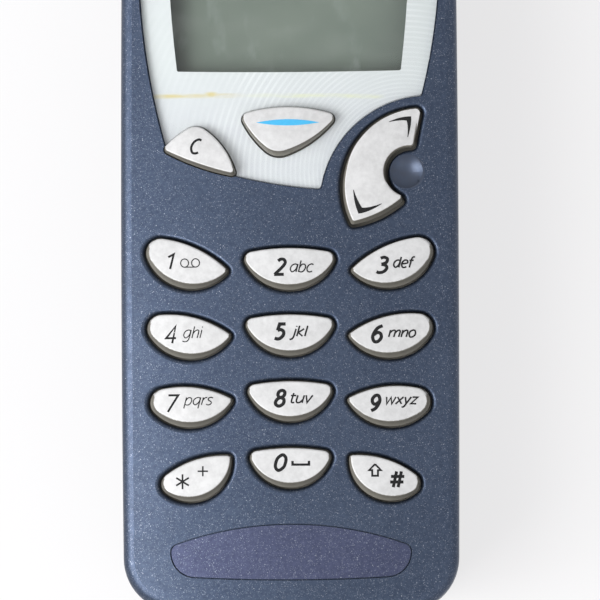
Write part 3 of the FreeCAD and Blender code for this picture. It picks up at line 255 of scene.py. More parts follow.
def printedTrim(name, look):
    finish = Finish(name)
    axes = finish.axes(finish.place)
    away = finish.spread(axes["Y"], *look["changeY"])
    sheet = finish.blend(away, look["below"], look["above"])
    patches = finish.clouds(look["patch"], 0.3, 0.7, 0.0, look["patchShow"])
    sheet = finish.blend(patches, sheet, look["pale"])
    # Fine rings round the thumb bowl, which spread out with distance: an embossed pattern, whose
    # lighter crests are painted sheen
    distance = finish.distanceFrom(look["ringPlace"])
    turns = finish.calc("POWER", distance, look["ringPower"])
    turns = finish.times(turns, look["ringCount"])
    rings = finish.calc("SINE", finish.times(turns, 2 * math.pi))
    fade = finish.clouds(look["ringPatch"], 0.35, 0.65, look["ringLeast"], 1.0)
    leftFade = finish.spread(axes["X"], *look["ringFadeX"], look["ringFadeLeast"], 1.0)
    fade = finish.times(fade, leftFade)
    # Painted sheen: the crests are coloured lighter, less so in patches and towards the left
    sheenCrest = finish.spread(rings, -0.2, 1.0, 0.0, look["ringSheenShow"])
    sheet = finish.blend(finish.times(sheenCrest, fade), sheet, look["ring"])
    # Old glue shows through as a thin line: yellow at the left, pale further right, with one blob
    lean = finish.times(axes["X"], look["glueLean"])
    off = finish.calc("SUBTRACT", finish.calc("ADD", axes["Y"], lean), look["glueY"])
    off = finish.calc("ABSOLUTE", off)
    line = finish.spread(off, look["glueCore"], look["glueHalfWidth"], 1.0, 0.0)
    patches = finish.clouds(look["gluePatch"], 0.35, 0.65, look["gluePatchLeast"], 1.0,
                            finish.mapped(look["gluePatchScale"]))
    line = finish.times(line, patches)
    yellow = finish.spread(axes["X"], *look["yellowX"], 0.0, look["yellowShow"])
    yellow = finish.times(line, yellow)
    pale = finish.spread(axes["X"], *look["paleX"], 0.0, look["paleShow"])
    pale = finish.times(line, pale)
    pale = finish.times(pale, finish.spread(axes["X"], *look["glueEndX"]))
    blob = finish.distanceFrom(look["glueBlob"], look["blobStretch"])
    blob = finish.spread(blob, *look["blobRim"], look["yellowShow"], 0.0)
    colour = finish.blend(pale, sheet, look["paleGlue"])
    colour = finish.blend(finish.calc("MAXIMUM", yellow, blob), colour, look["glue"])
    return finish.shade({"Base Color": colour, "Roughness": look["roughness"],
                         "Specular IOR Level": look["gloss"],
                         "Normal": finish.bump(rings, look["ringDepth"])})


lensLook = {
    "tint": (0.992, 0.996, 0.997), "glossRoughness": 0.04, "ior": 1.49,
    "film": (0.9, 0.92, 0.92), "smear": (2.2, 4.0, 0.62), "smearScale": (220, 420, 1000),
    "smearTurn": 0.6, "smearShow": 0.035,
}


def clearLens(name, look):
    finish = Finish(name)
    clear = finish.add("BsdfTransparent", {"Color": (*look["tint"], 1.0)})
    gloss = {"Color": (1, 1, 1, 1), "Roughness": look["glossRoughness"]}
    gloss = finish.add("BsdfGlossy", gloss)
    # Only outer faces shine: from inside, rays that aren't bent would be turned back
    fresnel = finish.add("Fresnel", {"IOR": look["ior"]}).outputs["Fac"]
    outside = finish.calc("SUBTRACT", 1.0, finish.add("NewGeometry").outputs["Backfacing"])
    body = finish.mix(finish.times(fresnel, outside), clear, gloss)
    # Handling marks: a faint pale film in short smears
    smear = finish.mapped(look["smearScale"], turn=look["smearTurn"])
    film = finish.clouds(look["smear"], 0.52, 0.80, 0.0, look["smearShow"], smear)
    haze = finish.add("BsdfDiffuse", {"Color": (*look["film"], 1.0)})
    return finish.end(finish.mix(film, body, haze))


displayLook = {
    "field": (0.147, 0.182, 0.152), "warm": (0.170, 0.206, 0.172), "drift": (9.0, 2.0),
    "shade": (0.072, 0.090, 0.082), "pixel": 0.30, "pixelGap": 0.035, "gapShow": 0.10,
    # The frame's shade on the display: axis, two places in millimetres, and the shade at each
    "edges": (("X", -15.8, -13.2, 0.75, 0.0), ("X", 9.5, 15.8, 0.0, 0.42),
              ("Y", 9.2, 9.7, 0.20, 0.0)),
    "smudge": (0.32, 0.37, 0.34), "smear": (0.8, 5.0, 0.62), "smearScale": (300, 170, 1000),
    "smearTurn": -0.7, "smearShow": 0.50, "roughness": 0.32, "gloss": 0.3, "gridDepth": 0.002,
}


def displayCell(name, look):
    finish = Finish(name)
    axes = finish.axes(finish.place)
    field = finish.clouds(look["drift"], 0.35, 0.65)
    field = finish.blend(field, look["field"], look["warm"])
    # Faint grid of the picture elements
    gaps = []
    for axis in ("X", "Y"):
        step = finish.calc("PINGPONG", axes[axis], look["pixel"] / 2)
        gaps.append(finish.spread(step, 0.0, look["pixelGap"], look["gapShow"], 0.0))
    grid = finish.highest(gaps)
    field = finish.blend(grid, field, look["shade"])
    edge = finish.highest([finish.spread(axes[axis], *span) for axis, *span in look["edges"]])
    field = finish.blend(edge, field, look["shade"])
    wipe = finish.mapped(look["smearScale"], turn=look["smearTurn"])
    smear = finish.clouds(look["smear"], 0.54, 0.80, 0.0, look["smearShow"], wipe)
    colour = finish.blend(smear, field, look["smudge"])
    return finish.shade({"Base Color": colour, "Roughness": look["roughness"],
                         "Specular IOR Level": look["gloss"],
                         "Normal": finish.bump(grid, look["gridDepth"])})


# What all moulded plastic, rubber and ink have: wear in patches, flecks and uneven sheen
mouldedLook = {"wear": (11.0, 3.0, 0.6), "wearShow": 0.6, "fleckShow": 0.5, "sheen": (4.0, 2.0),
               "smoother": 0.06, "rougher": 0.08, "gloss": 0.5}


def mouldedPlastic(name, look):
    finish = Finish(name)
    look = {**mouldedLook, **look}
    grain = finish.noise(look["grain"], 2.0, 0.6)
    wear = finish.clouds(look["wear"], 0.45, 0.75, 0.0, look["wearShow"])
    flecks = finish.spread(grain, 0.30, 0.70, 0.0, look["fleckShow"])
    tone = finish.calc("ADD", wear, flecks, clamp=True)
    return finish.shade({
        "Base Color": finish.blend(tone, look["plastic"], look["worn"]),
        "Roughness": finish.clouds(look["sheen"], 0.3, 0.7, look["roughness"] - look["smoother"],
                                   look["roughness"] + look["rougher"]),
        "Specular IOR Level": look["gloss"],
        "Normal": finish.bump(grain, look["grainDepth"])})


shellLook = {"plastic": (0.021, 0.022, 0.027), "worn": (0.033, 0.034, 0.040), "grain": 0.16,
             "grainDepth": 0.035, "roughness": 0.52}
chassisLook = {"plastic": (0.185, 0.192, 0.205), "worn": (0.235, 0.242, 0.250), "grain": 0.30,
               "grainDepth": 0.02, "roughness": 0.48}
creamLook = {"plastic": (0.66, 0.63, 0.53), "worn": (0.74, 0.72, 0.64), "grain": 0.35,
             "grainDepth": 0.015, "roughness": 0.45}
guideLook = {"plastic": (0.74, 0.76, 0.74), "worn": (0.84, 0.85, 0.83), "grain": 0.5,
             "grainDepth": 0.01, "roughness": 0.25}
chipLook = {"plastic": (0.014, 0.014, 0.016), "worn": (0.030, 0.030, 0.032), "grain": 0.10,
            "grainDepth": 0.01, "roughness": 0.62}
rubberLook = {"plastic": (0.016, 0.016, 0.018), "worn": (0.034, 0.034, 0.037), "grain": 0.22,
              "grainDepth": 0.03, "roughness": 0.70}
lampLook = {"plastic": (0.62, 0.66, 0.22), "worn": (0.80, 0.80, 0.42), "grain": 0.4,
            "grainDepth": 0.01, "roughness": 0.30}
inkLook = {"plastic": (0.010, 0.010, 0.011), "worn": (0.020, 0.020, 0.021), "grain": 0.25,
           "grainDepth": 0.004, "roughness": 0.55, "gloss": 0.15}
blueInkLook = {"plastic": (0.050, 0.430, 0.770), "worn": (0.085, 0.510, 0.830), "grain": 0.4,
               "grainDepth": 0.004, "roughness": 0.35}


siliconeLook = {"rubber": (0.40, 0.41, 0.43), "milky": (0.52, 0.53, 0.55), "milk": (3.5, 3.0),
                "dust": (0.35, 2.0), "dustDepth": 0.01, "roughness": 0.55, "scatter": 0.25,
                "scatterReach": (0.001, 0.001, 0.001), "scatterScale": 0.6}


def softSilicone(name, look):
    finish = Finish(name)
    milk = finish.clouds(look["milk"], 0.3, 0.7)
    return finish.shade({
        "Base Color": finish.blend(milk, look["rubber"], look["milky"]),
        "Roughness": look["roughness"], "Subsurface Weight": look["scatter"],
        "Subsurface Radius": look["scatterReach"], "Subsurface Scale": look["scatterScale"],
        "Normal": finish.bump(finish.noise(*look["dust"]), look["dustDepth"])})


filmLook = {"film": (0.60, 0.60, 0.55), "print": (0.70, 0.70, 0.66), "haze": (1.6, 3.0),
            "roughness": (0.32, 0.47), "depth": 0.01}


def thinFilm(name, look):
    finish = Finish(name)
    haze = finish.clouds(look["haze"], 0.3, 0.7)
    return finish.shade({"Base Color": finish.blend(haze, look["film"], look["print"]),
                         "Roughness": finish.spread(haze, 0, 1, *look["roughness"]),
                         "Normal": finish.bump(haze, look["depth"])})


steelLook = {"metal": (0.60, 0.60, 0.59), "dark": (0.44, 0.44, 0.43), "line": (1.0, 3.0, 0.6),
             "stretch": (3000, 150, 1000), "dulling": (3.0, 3.0), "show": 0.6,
             "roughness": 0.28, "smoother": 0.05, "rougher": 0.12, "lineDepth": 0.004}


def drawnMetal(name, look):
    # Metal with fine drawn lines and a little dulling
    finish = Finish(name)
    lines = finish.noise(*look["line"], finish.mapped(look["stretch"]))
    dull = finish.clouds(look["dulling"], 0.4, 0.7, 0.0, look["show"])
    tone = finish.highest([finish.spread(lines, 0.3, 0.7, 0.0, look["show"]), dull])
    rough = finish.spread(lines, 0.3, 0.7, look["roughness"] - look["smoother"],
                          look["roughness"] + look["rougher"])
    return finish.shade({"Base Color": finish.blend(tone, look["metal"], look["dark"]),
                         "Metallic": 1.0, "Roughness": rough,
                         "Normal": finish.bump(lines, look["lineDepth"])})


tinLook = {**steelLook, "metal": (0.56, 0.57, 0.58), "dark": (0.42, 0.43, 0.45),
           "roughness": 0.36}
screwLook = {**steelLook, "metal": (0.44, 0.44, 0.46), "dark": (0.26, 0.26, 0.27),
             "stretch": (900, 900, 900)}
goldLook = {**steelLook, "metal": (0.82, 0.58, 0.22), "dark": (0.66, 0.44, 0.15),
            "roughness": 0.22}
nickelLook = {**steelLook, "metal": (0.62, 0.60, 0.56), "dark": (0.42, 0.41, 0.38),
              "stretch": (1500, 200, 1500)}
brassLook = {**steelLook, "metal": (0.70, 0.52, 0.23), "dark": (0.50, 0.36, 0.15),
             "stretch": (1500, 200, 1500)}
sleeveLook = {**steelLook, "metal": (0.52, 0.54, 0.56), "dark": (0.40, 0.42, 0.44),
              "roughness": 0.42}


boardLook = {
    "mask": (0.012, 0.105, 0.045), "track": (0.020, 0.165, 0.075), "bare": (0.62, 0.50, 0.24),
    "pitch": 1.27, "trackWidth": 0.16, "trackEdge": 0.05, "bend": (6.0, 1.0), "bendReach": 2.0,
    "field": (4.0, 0.0), "fieldTint": 0.06, "holeSpacing": 1.8, "holeRim": (0.10, 0.13),
    "roughness": (0.30, 0.45), "depth": 0.03,
}


def circuitBoard(name, look):
    # Solder mask over tracks, which run along or across in fields, with small tinned holes
    finish = Finish(name)
    axes = finish.axes(finish.place)
    bend = finish.clouds(look["bend"], 0.3, 0.7, -look["bendReach"], look["bendReach"])
    across, along = (finish.calc("PINGPONG", finish.calc("ADD", axes[axis], bend),
                                 look["pitch"] / 2) for axis in ("X", "Y"))
    field = finish.clouds(look["field"], 0.49, 0.51)
    lines = finish.add("Mix", {"Factor": field, "A": across, "B": along}, data_type="FLOAT")
    track = finish.spread(lines.outputs[0], look["trackWidth"],
                          look["trackWidth"] + look["trackEdge"], 1.0, 0.0)
    holes = finish.cells(look["pitch"] * look["holeSpacing"])
    ring = finish.spread(holes["Distance"], *look["holeRim"], 1.0, 0.0)
    colour = finish.blend(track, look["mask"], look["track"])
    colour = finish.blend(ring, colour, look["bare"])
    tint = finish.times(field, look["fieldTint"])
    return finish.shade({
        "Base Color": finish.blend(tint, colour, look["mask"]),
        "Roughness": finish.spread(ring, 0, 1, *look["roughness"]),
        "Normal": finish.bump(finish.calc("ADD", track, ring), look["depth"])})


zebraLook = {"rubber": (0.20, 0.20, 0.21), "carbon": (0.03, 0.03, 0.03), "pitch": 0.25,
             "stripeEdge": (0.05, 0.08), "roughness": 0.6, "depth": 0.005}


def stripedRubber(name, look):
    finish = Finish(name)
    step = finish.calc("PINGPONG", finish.axes(finish.place)["X"], look["pitch"] / 2)
    stripe = finish.spread(step, *look["stripeEdge"])
    return finish.shade({"Base Color": finish.blend(stripe, look["carbon"], look["rubber"]),
                         "Roughness": look["roughness"],
                         "Normal": finish.bump(stripe, look["depth"])})


# Each finish: how it is made, its look, and the CAD nodes that get it
keyNames = sorted(name for name in nodes if name.startswith("key_") and name != "key_domes")
recipes = {
    "coverPaint": (flakePaint, coverLook, ["front_cover"]),
    "badgePaint": (flakePaint, badgeLook, ["cover_badge"]),
    "keyPearl": (keyPearl, keyLook, keyNames),
    "printedTrim": (printedTrim, trimLook, ["display_trim"]),
    "clearLens": (clearLens, lensLook, ["display_window"]),
    "displayCell": (displayCell, displayLook, ["lcd_glass"]),
    "shellPlastic": (mouldedPlastic, shellLook, [
        "rear_cover", "battery_case", "battery_lid", "battery_latch", "system_connector",
        "battery_connector", "power_key"]),
    "chassisPlastic": (mouldedPlastic, chassisLook, ["chassis"]),
    "creamPlastic": (mouldedPlastic, creamLook, ["board_connector"]),
    "guidePlastic": (mouldedPlastic, guideLook, ["light_guide"]),
    "chipEpoxy": (mouldedPlastic, chipLook, [
        "board_chips", "buzzer", "earpiece", "microphone", "power_switch"]),
    "darkRubber": (mouldedPlastic, rubberLook, [
        "antenna_sheath", "rf_port_plug", "microphone_boot", "earpiece_gasket",
        "earpiece_screen"]),
    "lampResin": (mouldedPlastic, lampLook, ["backlight_leds"]),
    "legendInk": (mouldedPlastic, inkLook, []),
    "blueInk": (mouldedPlastic, blueInkLook, []),
    "softSilicone": (softSilicone, siliconeLook, ["keymat"]),
    "thinFilm": (thinFilm, filmLook, ["dome_film"]),
    "springSteel": (drawnMetal, steelLook, ["key_domes"]),
    "tinnedSheet": (drawnMetal, tinLook, [
        "rf_shield", "baseband_shield", "lcd_frame", "antenna_clip"]),
    "platedScrew": (drawnMetal, screwLook, ["housing_screws"]),
    "goldPlate": (drawnMetal, goldLook, [
        "contact_springs", "battery_contacts", "connector_contacts"]),
    "nickelPlate": (drawnMetal, nickelLook, ["charger_jack", "rf_port"]),
    "turnedBrass": (drawnMetal, brassLook, ["antenna_ferrule", "antenna_coil"]),
    "cellSleeve": (drawnMetal, sleeveLook, ["battery_cells"]),
    "circuitBoard": (circuitBoard, boardLook, ["keypad_board", "main_board"]),
    "stripedRubber": (stripedRubber, zebraLook, ["lcd_connector"]),
}

print("making finishes")
finishes = {}
for finishName, (make, look, dressed) in recipes.items():
    finishes[finishName] = make(finishName, look)
    for name in dressed:
        slots = nodes[name].data.materials
        slots.clear()
        slots.append(finishes[finishName])


# Key legends are drawn with strokes and laid on the domed caps. The weights are the strokes'
# widths: digits, light digits, letters and light letters.
legendLook = {"weights": (0.46, 0.29, 0.22, 0.14), "slant": 0.20, "stepsPerBend": 6,
              "sharpest": 0.45, "lift": 0.018, "layerStep": 0.003, "sink": 0.03}


def reelOutline(middle):
    outline = []
    for step in range(8):
        turn = math.radians(90 + 45 * step)
        outline += [middle + 21 * math.cos(turn), 50 + 50 * math.sin(turn)]
    return outline


# Each shape is drawn in a box of its own, in hundredths of a small letter's height: its
# width, and its runs of x and y. c is a smooth curve, o a smooth loop, l straight lines.
bowl = ("o", 42, 98, 14, 75, 10, 32, 34, 2, 60, 22, 72, 60, 68, 92)
leftBowl = ("c", 12, 55, 32, 95, 60, 92, 74, 55, 60, 10, 34, 0, 12, 12)
arch = ("c", 12, 52, 30, 86, 54, 98, 68, 78, 66, 0)
secondArch = ("c", 67, 52, 86, 86, 106, 98, 120, 78, 118, 0)
sixCurve = (52, 97, 26, 84, 9, 54, 6, 28, 20, 3, 42, 3, 57, 25, 50, 48, 30, 57, 9, 42)
nineCurve = [turn - value for value, turn in zip(sixCurve, (62, 100) * 10)]
stem = ("l", 12, 100, 12, 0)
tallStem = ("l", 12, 142, 12, 0)
shapes = {
    "0": (66, [("o", 34, 100, 10, 80, 4, 48, 9, 18, 30, 0, 54, 20, 60, 52, 55, 82)]),
    "1": (50, [("l", 14, 80, 40, 100, 40, 0)]),
    "2": (66, [("c", 8, 88, 22, 99, 42, 97, 54, 78, 45, 54, 24, 27, 3, 2), ("l", 0, 2, 60, 2)]),
    "3": (66, [("c", 10, 94, 28, 100, 50, 90, 48, 66, 22, 54), ("c", 22, 54, 50, 46, 58, 26,
        42, 5, 18, 0, 2, 6)]),
    "4": (66, [("l", 62, 30, 4, 30, 46, 100, 46, 0)]),
    "5": (66, [("l", 58, 98, 18, 98, 12, 56), ("c", 12, 56, 32, 61, 53, 49, 57, 27, 41, 5,
        20, 0, 2, 6)]),
    "6": (66, [("c", *sixCurve)]),
    "7": (62, [("l", 4, 98, 60, 98, 20, 0)]),
    "8": (66, [("o", 32, 100, 13, 90, 12, 68, 30, 54, 50, 66, 51, 89), ("o", 30, 54, 9, 40,
        6, 15, 30, 0, 55, 15, 54, 42)]),
    "9": (66, [("c", *nineCurve)]),
    "a": (88, [bowl, ("l", 76, 100, 74, 0)]),
    "b": (84, [tallStem, leftBowl]),
    "c": (72, [("c", 66, 90, 44, 100, 18, 82, 8, 45, 22, 8, 46, 0, 66, 10)]),
    "d": (90, [bowl, ("l", 76, 142, 74, 0)]),
    "e": (80, [("c", 10, 50, 44, 53, 72, 62, 66, 90, 42, 100, 18, 82, 8, 45, 24, 6, 48, 0,
        68, 12)]),
    "f": (58, [("c", 62, 142, 44, 142, 32, 124, 28, 90, 24, 0), ("l", 8, 96, 56, 96)]),
    "g": (90, [bowl, ("c", 76, 100, 74, 20, 66, -28, 40, -45, 10, -36)]),
    "h": (82, [tallStem, arch]),
    "i": (32, [("l", 14, 100, 14, 0), ("l", 14, 140, 14, 128)]),
    "j": (40, [("c", 26, 100, 24, 10, 16, -32, -8, -45), ("l", 26, 140, 26, 128)]),
    "k": (74, [tallStem, ("l", 62, 100, 16, 50, 66, 0)]),
    "l": (32, [("l", 14, 142, 14, 0)]),
    "m": (134, [stem, arch, secondArch]),
    "n": (82, [stem, arch]),
    "o": (84, [("o", 40, 100, 14, 80, 8, 45, 22, 6, 42, 0, 68, 20, 74, 55, 62, 92)]),
    "p": (84, [("l", 12, 100, 12, -45), leftBowl]),
    "q": (90, [bowl, ("l", 76, 100, 74, -45)]),
    "r": (54, [stem, ("c", 12, 56, 28, 90, 52, 99)]),
    "s": (64, [("c", 58, 90, 38, 100, 14, 88, 18, 62, 40, 48, 56, 28, 42, 4, 22, 0, 4, 10)]),
    "t": (58, [("c", 26, 130, 24, 30, 34, 2, 54, 5), ("l", 6, 97, 54, 97)]),
    "u": (82, [("c", 12, 100, 11, 25, 26, 2, 48, 8, 68, 42), ("l", 70, 100, 68, 0)]),
    "v": (74, [("l", 6, 100, 32, 0, 66, 100)]),
    "w": (108, [("l", 6, 100, 26, 0, 52, 92, 76, 0, 100, 100)]),
    "x": (76, [("l", 8, 100, 66, 0), ("l", 68, 100, 6, 0)]),
    "y": (76, [("l", 10, 100, 36, 5), ("c", 70, 100, 36, 2, 20, -38, 0, -45)]),
    "z": (70, [("l", 8, 97, 62, 97, 6, 3, 62, 3)]),
    "C": (70, [("c", 62, 92, 42, 100, 16, 82, 5, 45, 18, 8, 40, 0, 58, 6)]),
    "tape": (100, [("o", *reelOutline(21)), ("o", *reelOutline(79)), ("l", 21, 0, 79, 0)]),
    "star": (100, [("l", 50, 0, 50, 100), ("l", 4, 24, 96, 76), ("l", 4, 76, 96, 24)]),
    "plus": (100, [("l", 50, 0, 50, 100), ("l", 0, 50, 100, 50)]),
    "hash": (100, [("l", 22, 0, 46, 100), ("l", 56, 0, 80, 100), ("l", 6, 68, 100, 68),
        ("l", 0, 33, 94, 33)]),
    "space": (100, [("l", 0, 100, 0, 0, 100, 0, 100, 100)]),
    "shift": (100, [("l", 50, 100, 0, 48, 26, 48, 26, 0, 74, 0, 74, 48, 100, 48, 50, 100)]),
}

# For each key: shapes, left, right, lower and upper edge in millimetres, and the stroke's weight
digit, lightDigit, letter, lightLetter = legendLook["weights"]
legends = {
    "key_1": [(["1"], -16.87, -15.80, -18.78, -16.42, 0.30),
              (["tape"], -15.07, -12.32, -18.48, -17.19, 0.14)],
    "key_2": [(["2"], -2.32, -0.35, -19.76, -17.21, 0.43),
              (list("abc"), 0.05, 3.40, -19.31, -17.56, 0.17)],
    "key_3": [(["3"], 11.77, 13.72, -19.54, -16.98, 0.43),
              (list("def"), 14.25, 17.41, -18.72, -17.01, letter)],
    "key_4": [(["4"], -17.20, -15.53, -29.00, -26.37, lightDigit),
              (list("ghi"), -14.85, -11.92, -28.75, -26.51, lightLetter)],
    "key_5": [(["5"], -2.30, -0.32, -28.64, -26.12, digit),
              (list("jkl"), -0.14, 2.60, -28.61, -26.50, letter)],
    "key_6": [(["6"], 11.17, 13.01, -29.08, -26.39, digit),
              (list("mno"), 13.50, 17.41, -28.29, -27.10, letter)],
    "key_7": [(["7"], -16.99, -15.25, -38.44, -35.86, lightDigit),
              (list("pqrs"), -14.71, -10.55, -37.91, -36.26, lightLetter)],
    "key_8": [(["8"], -2.24, -0.47, -37.85, -35.23, digit),
              (list("tuv"), 0.03, 3.24, -37.28, -35.73, letter)],
    "key_9": [(["9"], 10.90, 12.57, -38.50, -35.92, digit),
              (list("wxyz"), 13.17, 17.70, -37.90, -36.28, letter)],
    "key_star": [(["star"], -15.85, -13.86, -49.02, -46.73, 0.24),
                 (["plus"], -12.86, -11.24, -47.25, -45.66, 0.20)],
    "key_0": [(["0"], -2.28, -0.37, -46.63, -44.06, 0.44),
              (["space"], 0.14, 2.72, -45.79, -44.96, 0.32)],
    "key_hash": [(["shift"], 10.67, 12.58, -47.33, -45.46, 0.27),
                 (["hash"], 13.48, 15.84, -48.98, -46.39, 0.42)],
    "key_clear": [(["C"], -13.66, -11.91, -2.85, -0.58, 0.32)],
}
upright = ("tape", "star", "plus", "hash", "space", "shift")


class CapSurface:
    # Finds the height of a key cap under a point
    def __init__(self, node):
        corners = [vertex.co for vertex in node.data.vertices]
        faces = [tuple(face.vertices) for face in node.data.polygons]
        self.tree = BVHTree.FromPolygons(corners, faces)
        self.above = 0.06  # metres, well over the highest key

    def at(self, point, lift):
        x, y = point[0] * mm, point[1] * mm
        hit = self.tree.ray_cast(Vector((x, y, self.above)), Vector((0, 0, -1)))[0]
        return Vector((x, y, hit.z + lift * mm))


def smoothPath(kind, points, steps):
    if kind == "l":
        return points, False
    closed = kind == "o"
    count = len(points)
    path = []
    for index in range(count if closed else count - 1):
        around = []
        for place in range(index - 1, index + 3):
            place = place % count if closed else min(max(place, 0), count - 1)
            around.append(points[place])
        a, b, c, d = around
        for step in range(steps):
            t = step / steps
            path.append(0.5 * ((2 * b) + (c - a) * t + (2 * a - 5 * b + 4 * c - d) * t ** 2
                               + (3 * b - a - 3 * c + d) * t ** 3))
    if not closed:
        path.append(points[-1])
    return path, closed


def strokePairs(path, closed, halfWidth):
    # Points on both sides of a stroke, mitred at its corners
    count = len(path)
    pairs = []
    for index, point in enumerate(path):
        before = path[index - 1] if index or closed else None
        after = path[(index + 1) % count] if index < count - 1 or closed else None
        into = (point - before).normalized() if before else None
        away = (after - point).normalized() if after else into
        into = into or away
        along = (into + away).normalized()
        mitre = max(legendLook["sharpest"], along.dot(away))
        side = Vector((-along.y, along.x)) * halfWidth / mitre
        pairs.append((point + side, point - side))
    return pairs


def layStrip(build, cap, pairs, lift, closed=False):
    # A thin closed strip that follows the cap between pairs of points
    sections = []
    for left, right in pairs:
        high = [build.verts.new(cap.at(point, lift)) for point in (left, right)]
        low = [build.verts.new(cap.at(point, -legendLook["sink"])) for point in (right, left)]
        sections.append(high + low)
    following = sections[1:] + ([sections[0]] if closed else [])
    for first, second in zip(sections, following):
        for index in range(4):
            after = (index + 1) % 4
            build.faces.new((first[index], first[after], second[after], second[index]))
    if not closed:
        build.faces.new(sections[0][::-1])
        build.faces.new(sections[-1])


def linked(name, data):
    holder = bpy.data.objects.new(name, data)
    bpy.context.scene.collection.objects.link(holder)
    return holder


def finishMesh(name, build, finishName, body):
    bmesh.ops.recalc_face_normals(build, faces=build.faces)
    mesh = bpy.data.meshes.new(name)
    build.to_mesh(mesh)
    build.free()
    mesh.materials.append(finishes[finishName])
    piece = linked(name, mesh)
    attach(piece, body)


def drawnStrokes(marks, left, right, low, high, weight):
    # Strokes of a run of shapes, slanted and fitted into their measured box
    strokes = []
    start = 0.0
    for mark in marks:
        width, runs = shapes[mark]
        slant = 0.0 if mark in upright else legendLook["slant"]
        for kind, *run in runs:
            points = [Vector((x / 100, y / 100)) for x, y in zip(run[::2], run[1::2])]
            path, closed = smoothPath(kind, points, legendLook["stepsPerBend"])
            strokes.append(([Vector((start + p.x + slant * p.y, p.y)) for p in path], closed))
        start += width / 100
    xs = [p.x for path, _ in strokes for p in path]
    ys = [p.y for path, _ in strokes for p in path]
    half = weight / 2
    xScale = (right - left - weight) / (max(xs) - min(xs))
    yScale = (high - low - weight) / (max(ys) - min(ys))

    def fit(p):
        x = left + half + (p.x - min(xs)) * xScale
        return Vector((x, low + half + (p.y - min(ys)) * yScale))

    return [([fit(p) for p in path], closed) for path, closed in strokes]


print("drawing key legends")
for key, parts in legends.items():
    cap = CapSurface(nodes[key])
    build = bmesh.new()
    lift = legendLook["lift"]
    for *drawing, weight in parts:
        for path, closed in drawnStrokes(*drawing, weight):
            layStrip(build, cap, strokePairs(path, closed, weight / 2), lift, closed)
            lift += legendLook["layerStep"]
    finishMesh("legend" + key[3:], build, "legendInk", key)

# Blue lens mark on the middle key, and the two pointed marks on the scroll key
markLook = {
    "lensLeft": -4.45, "lensRight": 4.20, "lensY": 1.47, "lensHalf": 0.44, "lensTip": 0.03,
    "lensSteps": 28, "armSteps": 8,
    "up": [(13.85, 1.69), (15.45, 2.28), (16.93, 2.46), (16.85, 1.15), (16.46, -0.50)],
    "upInside": [(13.85, 1.62), (15.33, 1.87), (16.30, 1.84), (16.44, 0.90), (16.38, -0.50)],
    "down": [(8.84, -7.90), (9.06, -9.65), (9.55, -11.20), (11.12, -10.76), (12.76, -9.85)],
    "downInside": [(8.92, -7.90), (9.40, -9.20), (10.05, -10.36), (11.20, -10.26),
                   (12.76, -9.78)],
}


def bendThrough(points, steps):
    first, middle, last = (Vector(point) for point in points)
    control = 2 * middle - (first + last) / 2
    path = []
    for step in range(steps + 1):
        t = step / steps
        path.append(first * (1 - t) ** 2 + control * 2 * t * (1 - t) + last * t ** 2)
    return path


def pointedPairs(outside, inside, steps):
    # Two tapered arms that meet at a sharp corner: the middle point of both lists
    pairs = []
    for arm in (slice(0, 3), slice(2, 5)):
        sides = zip(bendThrough(outside[arm], steps), bendThrough(inside[arm], steps))
        pairs += list(sides)[1 if pairs else 0:]
    return pairs


def lensPairs(look):
    pairs = []
    for step in range(look["lensSteps"] + 1):
        share = step / look["lensSteps"]
        x = look["lensLeft"] + (look["lensRight"] - look["lensLeft"]) * share
        half = look["lensHalf"] * max(look["lensTip"], 1 - (2 * share - 1) ** 2)
        pairs.append((Vector((x, look["lensY"] + half)), Vector((x, look["lensY"] - half))))
    return pairs


build = bmesh.new()
layStrip(build, CapSurface(nodes["key_menu"]), lensPairs(markLook), legendLook["lift"])
finishMesh("legend_menu", build, "blueInk", "key_menu")

build = bmesh.new()
cap = CapSurface(nodes["key_scroll"])
for name in ("up", "down"):
    arms = pointedPairs(markLook[name], markLook[name + "Inside"], markLook["armSteps"])
    layStrip(build, cap, arms, legendLook["lift"])
finishMesh("legend_scroll", build, "legendInk", "key_scroll")


